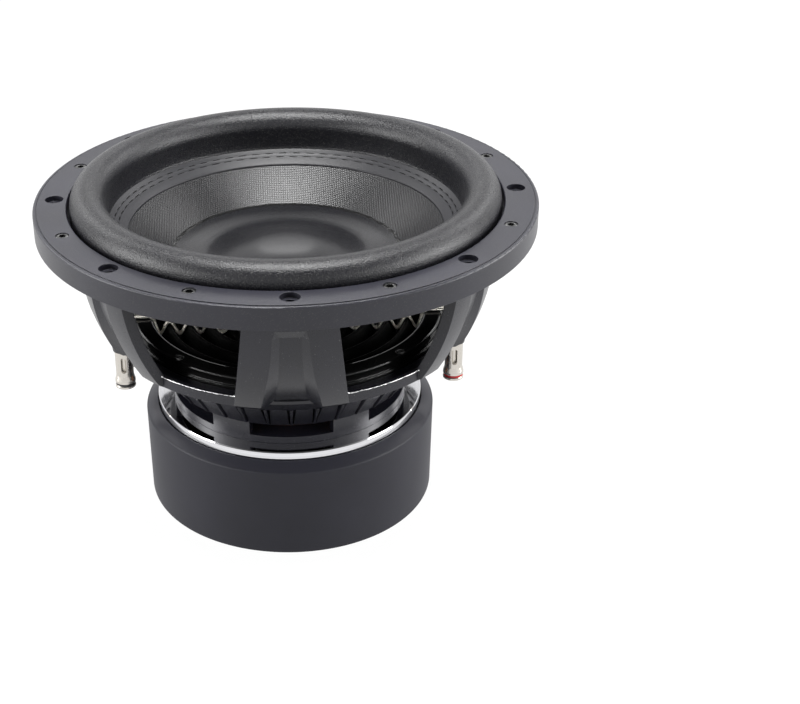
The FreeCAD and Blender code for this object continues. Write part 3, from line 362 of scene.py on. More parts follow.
FINISHES = {
    "ring": coated("speckled_ring", grey(0.012, 0.5), grey(0.017, 0.5), roughness=0.36,
                   grain=0.45, depth=0.05, glints=0.08, glint=grey(0.05), rounding=0.5),
    "basket": basket_finish(),
    "roll": coated("surround_foam", grey(0.006, 0.3), grey(0.009, 0.3), roughness=0.3,
                   grain=0.9, depth=0.3, glints=0.25, glint=grey(0.03), Specular_IOR_Level=0.42),
    "band": coated("band_rubber", grey(0.012, 0.2), grey(0.016, 0.2), roughness=0.42,
                   grain=0.3, depth=0.01, Specular_IOR_Level=0.36),
    "stitch": coated("stitch_thread", grey(0.003), grey(0.006), roughness=0.75,
                     grain=0.3, depth=0.01, Specular_IOR_Level=0.15),
    # warp lighter than weft: painted sheen on the weave
    "cone": woven("cone_weave", grey(0.013, 0.2), grey(0.002, 0.2), roughness=0.24,
                  pitch=1.1, turn=0.785, depth=0.06, Specular_IOR_Level=0.36),
    "glue": coated("cap_glue", grey(0.006), grey(0.01), roughness=0.2, grain=2.4, depth=0.25),
    "cap": coated("dust_cap_satin", grey(0.008, 0.2), grey(0.01, 0.2), roughness=0.27,
                  grain=0.25, depth=0.003),
    "boot": boot_finish(),
    "gloss": coated("clamp_gloss", grey(0.004), grey(0.006), roughness=0.07,
                    grain=0.4, depth=0.001, rounding=1.3),
    "plate": machined("polished_plate", grey(0.62, 0.03), grey(0.74, 0.03), roughness=0.07,
                      pitch=0.7, depth=0.002),
    "steel": machined("polished_steel", grey(0.6), grey(0.68), roughness=0.2,
                      pitch=0.5, depth=0.003),
    "bare": machined("bare_steel", grey(0.3), grey(0.4), roughness=0.35, pitch=0.6, depth=0.005),
    "nickel": machined("satin_nickel", (0.55, 0.52, 0.48, 1), (0.65, 0.62, 0.57, 1),
                       roughness=0.25, pitch=0.3, depth=0.002),
    "ferrite": coated("ferrite", grey(0.03), grey(0.04), roughness=0.6, grain=0.5, depth=0.03),
    "screw": machined("black_oxide", grey(0.1), grey(0.15), roughness=0.2, pitch=0.3, depth=0.003),
    "cloth": woven("spider_cloth", grey(0.0015), grey(0.001), roughness=0.45,
                   pitch=0.8, turn=0.3, depth=0.05, Specular_IOR_Level=0.05),
    "former": coated("former_sheet", grey(0.03), grey(0.04), roughness=0.35,
                     grain=0.4, depth=0.003),
    "copper": machined("lacquered_copper", (0.45, 0.19, 0.09, 1), (0.55, 0.25, 0.12, 1),
                       roughness=0.3, pitch=0.4, depth=0.02),
    "braid": machined("tinned_braid", (0.8, 0.76, 0.68, 1), (0.9, 0.87, 0.8, 1),
                      roughness=0.32, pitch=0.3, depth=0.005),
    "collar": coated("collar_plastic", grey(0.015), grey(0.02), roughness=0.4,
                     grain=0.3, depth=0.006),
    "red": coated("red_ring", (0.5, 0.01, 0.012, 1), (0.58, 0.015, 0.015, 1), roughness=0.3,
                  grain=0.4, depth=0.003),
    "black": coated("black_ring", grey(0.012), grey(0.016), roughness=0.3,
                    grain=0.4, depth=0.003),
}


# ---- pieces ----
CREASE, FINE_CREASE, THREAD_CREASE = 32.0, 28.0, 60.0      # degrees, sharp beyond these
TURNS = {"roll": 320, "band": 288, "woven_cone": 288, "cap": 256, "cap_glue": 288,
         "moulded_boot": 256, "corrugated_spider": 224}    # steps round the axis


def linked(name, data):
    """A new object in the scene."""
    made = bpy.data.objects.new(name, data)
    bpy.context.scene.collection.objects.link(made)
    return made


def piece_of(name, mesh, finish_name, body, slot, *replaced):
    """A new piece on a body, in place of the nodes that it stands for."""
    piece = linked(name, mesh)
    mesh.materials.clear()
    mesh.materials.append(FINISHES[finish_name])
    if body:
        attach(piece, body)
    if replaced:
        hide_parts(*replaced)
    return piece


def smooth(mesh, crease=CREASE):
    mesh.shade_smooth()
    mesh.set_sharp_from_angle(angle=math.radians(crease))


def mesh_of(shape, name):
    mesh = bpy.data.meshes.new(name)
    shape.to_mesh(mesh)
    shape.free()
    return mesh


def turned_mesh(name, profile, wobble=None):
    """Closed profile of (radius, level) run once round the axis."""
    shape = bmesh.new()
    steps = TURNS[name]
    rings = []
    for k in range(steps):
        angle = math.tau * k / steps
        ring = []
        for index, (radius, level) in enumerate(profile):
            place = Vector((radius * math.cos(angle), radius * math.sin(angle), level))
            if wobble:
                place += wobble(index, place)
            ring.append(shape.verts.new(place * MM))
        rings.append(ring)
    count = len(profile)
    for k, ring in enumerate(rings):
        after = rings[(k + 1) % steps]
        for i in range(count):
            j = (i + 1) % count
            shape.faces.new((ring[i], after[i], after[j], ring[j]))
    bmesh.ops.remove_doubles(shape, verts=shape.verts, dist=0.001 * MM)
    bmesh.ops.recalc_face_normals(shape, faces=shape.faces)
    mesh = mesh_of(shape, name)
    smooth(mesh)
    return mesh


def rows_mesh(name, shape, rows):
    """Closed mesh over rows of vertices that are stacked along a rod."""
    count = len(rows[0])
    for lower, upper in zip(rows, rows[1:]):
        for k in range(count):
            j = (k + 1) % count
            shape.faces.new((lower[k], lower[j], upper[j], upper[k]))
    shape.faces.new(rows[-1])
    shape.faces.new(rows[0][::-1])
    bmesh.ops.recalc_face_normals(shape, faces=shape.faces)
    return mesh_of(shape, name)


def bend_round(piece):
    """Sets each point to its distance from the axis, bakes the piece's transform, then puts each
    point back.
    """
    vertices = piece.data.vertices
    places = [vertex.co.copy() for vertex in vertices]
    for vertex, place in zip(vertices, places):
        vertex.co = (math.hypot(place.x, place.y), 0, 0)
    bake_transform(piece)
    for vertex, place in zip(vertices, places):
        vertex.co = place


# ---- surround, cone and dust cap ----
FORMER_RADIUS, CONE_NECK_GAP = 38.0, 0.3
CONE_EDGE, CONE_EDGE_LEVEL, CONE_SHEET = 120.0, 212.4, 1.6
BAND_INNER, BAND_SHEET = 102.5, 1.2
BAND_SLOPE, CONE_SLOPE = math.tan(math.radians(29.0)), math.tan(math.radians(34.3))
CONE_RADII = (FORMER_RADIUS + CONE_NECK_GAP, 60.0, 75.0, 90.0, BAND_INNER, CONE_EDGE)

RIM_OUTER, RIM_LOW, RIM_HIGH = 149.5, 214.7, 216.5
ROLL_OUTER, ROLL_INNER, ROLL_SIDE, ROLL_CREST, ROLL_WALL = 138.5, 115.4, 223.5, 236.7, 3.0
ROLL_ARC, ROLL_INSIDE_ARC = 40, 24
LIP_SEAT = 0.1                         # the roll's inner wall stands this far off the band
# steps outwards and upwards
ROLL_FOOT = ((1.4, 0.0), (0.5, 0.3), (0.1, 1.2))                                # on the rim
ROLL_LIP = ((0.0, 5.0), (-0.05, 1.6), (-0.2, 0.7), (-0.5, 0.1), (-0.5, -0.6))   # on the band
BAND_EDGE = ((0.0, 0.0), (0.0, 0.7), (0.2, 1.05), (0.7, BAND_SHEET))            # on the cone

STITCH_ROWS = (111.8, 108.9)
STITCH_GROOVE = ((-0.55, 0.0), (-0.2, 0.4), (0.2, 0.4), (0.55, 0.0))            # depth beside a row

CAP_RADIUS, CAP_SHEET = 74.4, 1.2
# radius, and height above the cap's edge
CAP_LINE = ((68.0, -0.6), (62.0, -1.4), (56.0, -2.1), (51.0, -2.1), (44.0, -0.7), (33.0, 2.6),
            (20.0, 5.4), (9.0, 6.4), (0.0, 6.6))
CAP_LINE_STEPS = 8
# steps outwards and upwards from the cap's edge on the cone
BEAD = ((-0.5, 0.0), (-0.5, 1.3), (0.2, 1.45), (0.9, 1.35), (1.7, 1.6), (2.4, 1.4))
BEAD_SWELLS = ((0.16, 0.8), (0.5, 0.45))     # waves per millimetre, and height
BEAD_HELD, BEAD_LIFT = 0.3, 0.35             # share of the swell beside the cap, and upwards


def cone_level(radius):
    """Upper side of the cone, with its flatter land at the edge."""
    land = min(CONE_EDGE - radius, CONE_EDGE - BAND_INNER)
    return CONE_EDGE_LEVEL - land * BAND_SLOPE - (CONE_EDGE - land - radius) * CONE_SLOPE


def arc(centre, level, radius, start, end, count):
    """Points of an arc, from one angle in degrees to another."""
    turns = [math.radians(start + (end - start) * k / count) for k in range(count + 1)]
    return [(centre + radius * math.cos(turn), level + radius * math.sin(turn)) for turn in turns]


def build_roll():
    """Foam half-roll with its glued rim and the soft lip that lies on the band."""
    middle = (ROLL_OUTER + ROLL_INNER) / 2
    half = (ROLL_OUTER - ROLL_INNER) / 2
    rise = ROLL_CREST - ROLL_SIDE
    radius = (half ** 2 + rise ** 2) / (2 * rise)
    level = ROLL_CREST - radius
    dip = math.degrees(math.atan2(ROLL_SIDE - level, half))
    lip = cone_level(ROLL_INNER) + BAND_SHEET
    foot = ROLL_INNER + ROLL_WALL
    profile = [(RIM_OUTER, RIM_LOW), (RIM_OUTER, RIM_HIGH)]
    profile += [(ROLL_OUTER + out, RIM_HIGH + up) for out, up in ROLL_FOOT]
    profile += arc(middle, level, radius, dip, 180 - dip, ROLL_ARC)
    profile += [(ROLL_INNER + out, lip + up) for out, up in ROLL_LIP]
    profile += [(foot, cone_level(foot) + BAND_SHEET + LIP_SEAT), (foot, ROLL_SIDE)]
    inside = arc(middle, level, radius - ROLL_WALL, 180 - dip, dip, ROLL_INSIDE_ARC)
    profile += inside[1:-1]
    profile += [(ROLL_OUTER - ROLL_WALL, ROLL_SIDE), (ROLL_OUTER - ROLL_WALL, RIM_LOW)]
    mesh = turned_mesh("roll", profile)
    roll = piece_of("roll", mesh, "roll", None, "surround_foam", "surround_roll")
    bend_round(roll)


def build_band():
    """Rubber band glued on the cone, with a fine groove under each row of stitches."""
    places = [(BAND_INNER + out, up) for out, up in BAND_EDGE]
    profile = [(radius, cone_level(radius) + up) for radius, up in places]
    for row in STITCH_ROWS[::-1]:
        for side, depth in STITCH_GROOVE:
            profile.append((row + side, cone_level(row + side) + BAND_SHEET - depth))
    edge = cone_level(CONE_EDGE)
    profile += [(CONE_EDGE, edge + BAND_SHEET), (CONE_EDGE, edge)]
    mesh = turned_mesh("band", profile)
    piece_of("band", mesh, "band", "moving_assembly", "surround_foam", "stitched_band")


def build_cone():
    """Woven cone with its flatter land under the band."""
    drop = CONE_SHEET / math.cos(math.atan(CONE_SLOPE))
    upper = [(radius, cone_level(radius)) for radius in CONE_RADII]
    lower = [(radius, level - drop) for radius, level in upper[::-1]]
    mesh = turned_mesh("woven_cone", upper + lower)
    piece_of("woven_cone", mesh, "cone", "moving_assembly", "cone_weave", "cone")


def curve_through(points, share):
    """Soft curve through (radius, level) points, as a list with share steps in each span."""
    line = []
    ends = [points[0]] + points + [points[-1]]
    for k in range(1, len(ends) - 2):
        before, here, after, beyond = ends[k - 1:k + 3]
        for step in range(share):
            t = step / share
            row = []
            for axis in (0, 1):
                slope_in = (after[axis] - before[axis]) / 2
                slope_out = (beyond[axis] - here[axis]) / 2
                row.append((2 * t ** 3 - 3 * t ** 2 + 1) * here[axis]
                           + (t ** 3 - 2 * t ** 2 + t) * slope_in
                           + (3 * t ** 2 - 2 * t ** 3) * after[axis]
                           + (t ** 3 - t ** 2) * slope_out)
            line.append(tuple(row))
    return line + [points[-1]]


def bead_swell(index, place):
    """Uneven run of the glue: its outer points move out, and those on its top also up."""
    swell = sum(noise.noise(place * scale) * height for scale, height in BEAD_SWELLS)
    outward = Vector((place.x, place.y, 0)).normalized()
    held = BEAD_HELD if index < 2 else 1.0
    lift = swell * BEAD_LIFT if 1 < index < 5 else 0
    return outward * swell * held + Vector((0, 0, lift))


def build_cap():
    """Dust cap with a flat rim, a soft valley and a low crown, and the bead of glue round it."""
    foot = cone_level(CAP_RADIUS)
    base = foot + CAP_SHEET
    points = [(CAP_RADIUS, base)] + [(radius, base + rise) for radius, rise in CAP_LINE]
    upper = curve_through(points, CAP_LINE_STEPS)
    lower = [(radius, level - CAP_SHEET) for radius, level in upper[::-1]]
    mesh = turned_mesh("cap", upper + lower)
    piece_of("cap", mesh, "cap", "moving_assembly", "cap_satin", "dust_cap")
    bead = [(CAP_RADIUS + out, foot + up) for out, up in BEAD]
    mesh = turned_mesh("cap_glue", bead, bead_swell)
    piece_of("cap_glue", mesh, "glue", "moving_assembly", "cap_satin")


# ---- motor boot ----
BOOT_LOW, BOOT_SOLE = 10.9, 9.8        # underside at its outer and at its inner edge
BOOT_RADIUS, BOOT_FOOT_RADIUS, BOOT_ROUND, BOOT_ARC = 98.5, 97.7, 1.4, 6
BOOT_BORE, BOOT_STEP_BORE, BOOT_STEP, BOOT_SEAT = 90.3, 92.7, 71.2, 75.3
BOOT_LIP = ((91.2, 78.3), (90.7, 78.4), (90.45, 78.1), (90.4, 76.85))


def build_boot():
    """Rubber boot whose thin lip lies on the top plate's step, close to its turned rim."""
    profile = [(BOOT_BORE, BOOT_SOLE)]
    profile += arc(BOOT_FOOT_RADIUS - BOOT_ROUND, BOOT_LOW + BOOT_ROUND, BOOT_ROUND, -90, 0,
                   BOOT_ARC)
    profile += arc(BOOT_RADIUS - BOOT_ROUND, BOOT_SHOULDER - BOOT_ROUND, BOOT_ROUND, 0, 60,
                   BOOT_ARC)
    profile += BOOT_LIP
    profile += [(BOOT_STEP_BORE, BOOT_SEAT), (BOOT_STEP_BORE, BOOT_STEP), (BOOT_BORE, BOOT_STEP)]
    mesh = turned_mesh("moulded_boot", profile)
    piece_of("moulded_boot", mesh, "boot", "chassis", "boot_rubber", "motor_boot")


# ---- spider ----
SEAT_OUTER, SEAT_INNER, SEAT_LAND = 104.2, 89.0, 1.0
SPIDER_LEVEL, SPIDER_SWING, SPIDER_PITCH = 134.7, 4.5, 13.2
SPIDER_HALF, SPIDER_INNER, SPIDER_STEPS = 0.4, 38.3, 84
FIRST_LOW, LAST_LOW, LAST_RISE = 86.8, 47.2, 40.0          # radii where the waves start and end


def spider_level(radius):
    """Middle of the corrugated cloth at a radius."""
    if radius >= SEAT_INNER:
        return SPIDER_LEVEL
    if radius > FIRST_LOW:
        share = (SEAT_INNER - radius) / (SEAT_INNER - FIRST_LOW)
        return SPIDER_LEVEL - SPIDER_SWING * (0.5 - 0.5 * math.cos(math.pi * share))
    if radius >= LAST_LOW:
        wave = math.tau * (FIRST_LOW - radius) / SPIDER_PITCH
        return SPIDER_LEVEL - SPIDER_SWING * math.cos(wave)
    share = min((LAST_LOW - radius) / (LAST_LOW - LAST_RISE), 1.0)
    return SPIDER_LEVEL - SPIDER_SWING * (0.5 + 0.5 * math.cos(math.pi * share))


def inwards(end, steps, start=0):
    """Radii in even steps from the spider's seat to its inner end."""
    return [SEAT_INNER + (end - SEAT_INNER) * k / steps for k in range(start, steps + 1)]


def build_spider():
    """Corrugated cloth from its seat under the clamp ring to the former."""
    radii = [SEAT_OUTER, SEAT_INNER + SEAT_LAND] + inwards(SPIDER_INNER, SPIDER_STEPS)
    upper = [(radius, spider_level(radius) + SPIDER_HALF) for radius in radii]
    lower = [(radius, spider_level(radius) - SPIDER_HALF) for radius in radii[::-1]]
    mesh = turned_mesh("corrugated_spider", upper + lower)
    cloth = piece_of("corrugated_spider", mesh, "cloth", None, "spider_cloth", "spider")
    bend_round(cloth)


# ---- what repeats or follows a path ----
COIL_STEPS, COIL_SIDES, BRAID_SIDES = 28, 10, 8


def growth_group(name, inputs):
    """A geometry group that takes a geometry, its own inputs and a finish."""
    sockets = {"Geometry": "Geometry", **inputs, "Finish": "Material"}
    return new_group(name, "GeometryNodeTree", sockets, {"Geometry": "Geometry"})


def tube(graph, curve, sides, radius):
    """Round wire along a curve."""
    section = graph.add("GeometryNodeCurvePrimitiveCircle",
                        {"Resolution": sides, "Radius": radius})
    wire = graph.add("GeometryNodeCurveToMesh",
                     {"Curve": curve, "Profile Curve": section.outputs[0], "Fill Caps": True})
    return wire.outputs[0]


def finished(graph, geometry):
    """Makes the geometry real, with the finish that was given, as the group's result."""
    real = graph.add("GeometryNodeRealizeInstances", {"Geometry": geometry})
    done = graph.add("GeometryNodeSetMaterial",
                     {"Geometry": real.outputs[0], "Material": graph.given["Finish"]})
    graph.feed(graph.result["Geometry"], done.outputs[0])
    return graph.tree


def ring_tree():
    """Copies of one piece, evenly round the axis."""
    graph = growth_group("ring_of_copies", {"Piece": "Object", "Count": "Int", "Radius": "Float",
                                            "Height": "Float", "First Angle": "Float"})
    index = graph.add("GeometryNodeInputIndex").outputs["Index"]
    step = graph.math("DIVIDE", math.tau, graph.given["Count"])
    turn = graph.math("MULTIPLY_ADD", index, step, graph.given["First Angle"])
    x = graph.math("MULTIPLY", graph.math("COSINE", turn), graph.given["Radius"])
    y = graph.math("MULTIPLY", graph.math("SINE", turn), graph.given["Radius"])
    position = graph.vector(x, y, graph.given["Height"])
    places = graph.add("GeometryNodePoints",
                       {"Count": graph.given["Count"], "Position": position})
    source = graph.add("GeometryNodeObjectInfo", {"Object": graph.given["Piece"]})
    copies = graph.add("GeometryNodeInstanceOnPoints",
                       {"Points": places.outputs[0], "Instance": source.outputs["Geometry"],
                        "Rotation": graph.vector(0.0, 0.0, turn)})
    return finished(graph, copies.outputs[0])


def coil_tree():
    """Round wire wound into a spring."""
    graph = growth_group("coil_spring", {"Turns": "Float", "Radius": "Float", "Height": "Float",
                                         "Wire": "Float", "Place": "Vector"})
    helix = graph.add("GeometryNodeCurveSpiral",
                      {"Resolution": COIL_STEPS, "Rotations": graph.given["Turns"],
                       "Start Radius": graph.given["Radius"],
                       "End Radius": graph.given["Radius"], "Height": graph.given["Height"]})
    wire = tube(graph, helix.outputs[0], COIL_SIDES, graph.given["Wire"])
    moved = graph.add("GeometryNodeTransform",
                      {"Geometry": wire, "Translation": graph.given["Place"]})
    return finished(graph, moved.outputs[0])


def braid_tree():
    """Flat braid of round strands that weave over and under along a path."""
    graph = growth_group("flat_braid", {"Strands": "Int", "Half Width": "Float",
                                        "Half Thickness": "Float", "Plait": "Float",
                                        "Strand": "Float"})
    strands = graph.given["Strands"]
    copies = graph.add("GeometryNodeDuplicateElements",
                       {"Geometry": graph.given["Geometry"], "Amount": strands}, domain="SPLINE")
    which = graph.add("GeometryNodeStoreNamedAttribute",
                      {"Geometry": copies.outputs[0], "Name": "strand"},
                      data_type="FLOAT", domain="CURVE")
    graph.feed(which.inputs["Value"], copies.outputs["Duplicate Index"])
    strand = graph.add("GeometryNodeInputNamedAttribute", {"Name": "strand"}, data_type="FLOAT")
    length = graph.add("GeometryNodeSplineParameter").outputs["Length"]
    along = graph.math("DIVIDE", length, graph.given["Plait"])
    turns = graph.math("ADD", along, graph.math("DIVIDE", strand.outputs[0], strands))
    phase = graph.math("MULTIPLY", turns, math.tau)
    sway = graph.math("SINE", phase)
    sideways = graph.math("MULTIPLY", sway, graph.given["Half Width"])
    rise = graph.math("SINE", graph.math("MULTIPLY", phase, 2.0))
    lift = graph.math("MULTIPLY", rise, graph.given["Half Thickness"])
    tangent = graph.add("GeometryNodeInputTangent").outputs[0]
    normal = graph.joined("CROSS_PRODUCT", tangent, (0.0, 1.0, 0.0))
    offset = graph.joined("ADD", graph.vector(0.0, sideways, 0.0),
                          graph.joined("SCALE", normal, lift))
    shifted = graph.add("GeometryNodeSetPosition",
                        {"Geometry": which.outputs[0], "Offset": offset})
    strand_tube = tube(graph, shifted.outputs[0], BRAID_SIDES, graph.given["Strand"])
    return finished(graph, strand_tube)


RING_OF_COPIES = ring_tree()
COIL_SPRING = coil_tree()
FLAT_BRAID = braid_tree()


def grown(name, tree, base, values):
    """Runs a tree on a base curve or mesh, and gives the result as a plain mesh."""
    holder = linked(name + "_base", base)
    modifier = holder.modifiers.new("growth", "NODES")
    modifier.node_group = tree
    for item in tree.interface.items_tree:
        if item.in_out == "INPUT" and item.name in values:
            modifier[item.identifier] = values[item.name]
    ready = bpy.context.evaluated_depsgraph_get()
    mesh = bpy.data.meshes.new_from_object(holder.evaluated_get(ready), depsgraph=ready)
    bpy.data.objects.remove(holder)
    mesh.name = name
    return mesh


def empty_mesh(name):
    return bpy.data.meshes.new(name + "_base")


def copies_round(name, pattern, count, circle, level, first, finish_name, crease):
    """Mesh of a pattern's copies on a circle, the first of them at an angle in radians."""
    values = {"Piece": pattern, "Count": count, "Radius": circle * MM, "Height": level * MM,
              "First Angle": first, "Finish": FINISHES[finish_name]}
    mesh = grown(name, RING_OF_COPIES, empty_mesh(name), values)
    smooth(mesh, crease)
    return mesh


# ---- screws ----
HEAD_SIDES = 24
HEX_HALF = math.radians(30)            # half the angle between a socket's corners
HEAD_BEVEL, SOCKET_LIP = 0.45, 0.1
BEVEL_SOFT, SOCKET_FLARE, SOCKET_FLOOR = 0.3, 0.5, 0.35     # shares of the bevel and the height


def socket_head(radius, height, socket):
    """Screw head with a bevelled rim and a hexagonal socket, standing on Z 0."""
    shape = bmesh.new()
    bevel = HEAD_BEVEL * MM
    corner = socket / math.cos(HEX_HALF)

    def ring(distance, level, hexagonal=False):
        row = []
        for k in range(HEAD_SIDES):
            angle = math.tau * k / HEAD_SIDES
            reach = distance
            if hexagonal:
                bent = (angle + HEX_HALF) % (2 * HEX_HALF) - HEX_HALF
                reach = socket / math.cos(HEX_HALF - abs(bent))
            row.append(shape.verts.new((reach * math.cos(angle), reach * math.sin(angle), level)))
        return row

    soft = bevel * BEVEL_SOFT
    rows = [ring(radius, 0), ring(radius, height - bevel), ring(radius - soft, height - soft),
            ring(radius - bevel, height), ring(corner + bevel * SOCKET_FLARE, height),
            ring(0, height - SOCKET_LIP * MM, True), ring(0, height * SOCKET_FLOOR, True)]
    mesh = rows_mesh("socket_head", shape, rows)
    smooth(mesh, FINE_CREASE)
    return mesh


def ring_of_screws(name, node, count, circle, first, radius, height, level, socket, under=False):
    """Ring of heads in place of a node of screws; heads under a plate point downwards."""
    head = socket_head(radius * MM, height * MM, socket * MM)
    if under:
        head.transform(Matrix.Rotation(math.pi, 4, "X"))
    pattern = linked(name + "_pattern", head)
    mesh = copies_round(name, pattern, count, circle, level, math.radians(first), "screw",
                        FINE_CREASE)
    bpy.data.objects.remove(pattern)
    piece_of(name, mesh, "screw", "chassis", "screw_black", node)


def build_screws():
    ring_of_screws("ring_screw_heads", "trim_ring_screws", count=8, circle=149.0, first=-67.5,
                   radius=3.9, height=3.0, level=221.2, socket=2.0)
    ring_of_screws("clamp_screw_heads", "spider_clamp_screws", count=8, circle=99.0, first=-90.0,
                   radius=2.7, height=1.8, level=142.7, socket=1.5)
    ring_of_screws("foot_screw_heads", "basket_screws", count=6, circle=68.25, first=-60.0,
                   radius=3.9, height=4.5, level=88.7, socket=2.2)
    ring_of_screws("back_screw_heads", "back_plate_screws", count=12, circle=36.0, first=0.0,
                   radius=4.0, height=2.5, level=3.1, socket=2.2, under=True)


# ---- stitches ----
STITCH_COUNT, STITCH_SHIFT = 72, 0.02
STITCH_HALF, STITCH_RADIUS, STITCH_SINK = 3.3, 0.32, 0.3
STITCH_SPANS, STITCH_SIDES = 6, 8
STITCH_TIP = 0.04                      # share of its section left at a stitch's tip


def stitch_mesh():
    """One stitch along Y: a short thread that dips into the band at both ends."""
    shape = bmesh.new()
    rows = []
    for k in range(STITCH_SPANS + 1):
        share = k / STITCH_SPANS * 2 - 1
        thick = STITCH_RADIUS * math.sqrt(max(1 - share ** 6, STITCH_TIP))
        sink = STITCH_SINK * share ** 4
        row = []
        for side in range(STITCH_SIDES):
            angle = math.tau * side / STITCH_SIDES
            place = Vector((thick * math.cos(angle), STITCH_HALF * share,
                            thick * math.sin(angle) - sink))
            row.append(shape.verts.new(place * MM))
        rows.append(row)
    return rows_mesh("stitch", shape, rows)


def build_stitches():
    """Two rows of stitches, half sunk in the band's grooves."""
    pattern = linked("stitch_pattern", stitch_mesh())
    outer, inner = STITCH_ROWS
    rows = (("outer_stitches", outer, 0.0), ("inner_stitches", inner, STITCH_SHIFT))
    for name, circle, first in rows:
        level = cone_level(circle) + BAND_SHEET - STITCH_SINK
        mesh = copies_round(name, pattern, STITCH_COUNT, circle, level, first, "stitch",
                            THREAD_CREASE)
        piece_of(name, mesh, "stitch", "moving_assembly", "surround_foam")
    bpy.data.objects.remove(pattern)


# ---- springs and leads ----
SPRING_TURNS, SPRING_WIRE, SPRING_ROOM = 4.5, 0.45, 0.3
CLAMP_INNER, CLAMP_TOP = 91.0, 144.5
TERMINAL_CIRCLE, LUG_LEVEL = 111.7, 142.8
LEAD_ASIDE = 15.0                      # each lead runs this far beside the middle of its side
LEAD_HALF = 0.9                        # half of the room for its thickness
LEAD_LIFT, LEAD_END = 1.6, 0.2         # above the cloth's middle, and before the former
LEAD_SPANS, LEAD_FIRST, LEAD_SPACING = 60, 2, 0.45
LEAD_OVER = CLAMP_TOP + 0.5 + LEAD_HALF
# radius and level, from the lug and over the clamp ring to the spider
LEAD_START = ((TERMINAL_CIRCLE - 4.0, LUG_LEVEL + LEAD_HALF), (SEAT_OUTER + 1.2, CLAMP_TOP + 1.1),
              (SEAT_OUTER - 1.5, LEAD_OVER), (CLAMP_INNER + 2.0, LEAD_OVER),
              (CLAMP_INNER - 0.6, CLAMP_TOP - 0.4), (SEAT_INNER + 0.4, CLAMP_TOP - 4.5))
BRAID_STRANDS, BRAID_HALF_WIDTH, BRAID_HALF_THICKNESS = 5, 1.7, 0.45
BRAID_PLAIT, BRAID_STRAND = 5.2, 0.5


def build_springs():
    """A coil spring in each terminal's collar."""
    wire = SPRING_WIRE * MM
    for place in PLACES:
        low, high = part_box("terminal_spring_" + place)
        middle = (low + high) / 2
        outer = (high.x - low.x) / 2
        values = {"Turns": SPRING_TURNS, "Radius": outer - wire - SPRING_ROOM * MM,
                  "Height": high.z - low.z - 2 * wire, "Wire": wire,
                  "Place": (middle.x, middle.y, low.z + wire), "Finish": FINISHES["bare"]}
        name = "terminal_coil_" + place
        mesh = grown(name, COIL_SPRING, empty_mesh(name), values)
        smooth(mesh, THREAD_CREASE)
        spring = piece_of(name, mesh, "bare", "chassis", "spring_steel", "terminal_spring_" + place)
        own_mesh(spring)


def lead_line():
    """Points of a lead from its terminal, over the clamp ring and down the spider's waves."""
    line = list(LEAD_START)
    for radius in inwards(SPIDER_INNER + LEAD_END, LEAD_SPANS, LEAD_FIRST):
        line.append((radius, spider_level(radius) + LEAD_LIFT + LEAD_HALF))
    return [(math.sqrt(radius ** 2 - LEAD_ASIDE ** 2), level) for radius, level in line]


def evenly(points, spacing):
    """Places at an even spacing along a line of points."""
    places = [points[0]]
    carried = 0.0
    for here, after in zip(points, points[1:]):
        run = (after - here).length
        travelled = spacing - carried
        while travelled <= run:
            places.append(here.lerp(after, travelled / run))
            travelled += spacing
        carried = run - (travelled - spacing)
    return places


def lead_path(side, aside):
    """Curve of a lead, in even steps."""
    line = [Vector((side * x * MM, aside * MM, z * MM)) for x, z in lead_line()]
    places = evenly(line, LEAD_SPACING * MM)
    curve = bpy.data.curves.new("lead_path", "CURVE")
    curve.dimensions = "3D"
    spline = curve.splines.new("POLY")
    spline.points.add(len(places) - 1)
    for point, place in zip(spline.points, places):
        point.co = (place.x, place.y, place.z, 1.0)
    return curve


def build_leads():
    """Two flat braided leads on each side."""
    values = {"Strands": BRAID_STRANDS, "Half Width": BRAID_HALF_WIDTH * MM,
              "Half Thickness": BRAID_HALF_THICKNESS * MM, "Plait": BRAID_PLAIT * MM,
              "Strand": BRAID_STRAND * MM, "Finish": FINISHES["braid"]}
    for name, side in (("left", -1), ("right", 1)):
        shape = bmesh.new()
        for aside in (-LEAD_ASIDE, LEAD_ASIDE):
            shape.from_mesh(grown("braid", FLAT_BRAID, lead_path(side, aside), values))
        mesh = mesh_of(shape, "braided_leads_" + name)
        smooth(mesh, THREAD_CREASE)
        lead = piece_of("braided_leads_" + name, mesh, "braid", None, "lead_braid",
                        "tinsel_leads_" + name)
        bend_round(lead)


# ---- dressing of the pieces that keep their own shape ----
DRESSED = {
    "back_plate": "steel", "pole_piece": "bare", "magnet_lower": "ferrite",
    "magnet_upper": "ferrite", "top_plate": "plate", "basket": "basket", "trim_ring": "ring",
    "voice_coil_former": "former", "voice_coil_windings": "copper", "spider_clamp_ring": "gloss",
    "terminal_collars": "collar", "terminal_posts": "nickel", "terminal_nuts": "nickel",
}


def dress(name, finish_name):
    mesh = nodes[name].data
    mesh.materials.clear()
    mesh.materials.append(FINISHES[finish_name])


def dress_nodes():
    for node, finish_name in DRESSED.items():
        dress(node, finish_name)
    for place in PLACES:
        dress("terminal_sleeve_" + place, "nickel")
        dress("terminal_cap_" + place, "nickel")
        dress("terminal_colour_ring_" + place, "black" if place in BLACK_PLACES else "red")


# ---- studio ----
# Places and sizes in the studio are in metres, apart from the camera's.
ROOM = 0.22                            # strength of the light from all round
# What is mirrored, by the rise of the ray: white up to SWEEP_TOP, and CEILING from CEILING_START.
SWEEP_TOP, CEILING_START, CEILING = 0.55, 0.78, 0.1

FLOOR_HALF = 6.0
FLOOR_BOUNCE, FLOOR_TONE, FLOOR_ROUGHNESS = 0.3, 0.9, 0.9
FLOOR_GLOW, FLOOR_GLOW_SHARE = 1.03, 0.93

LAMP_TARGET = (0, 0, 0.12)
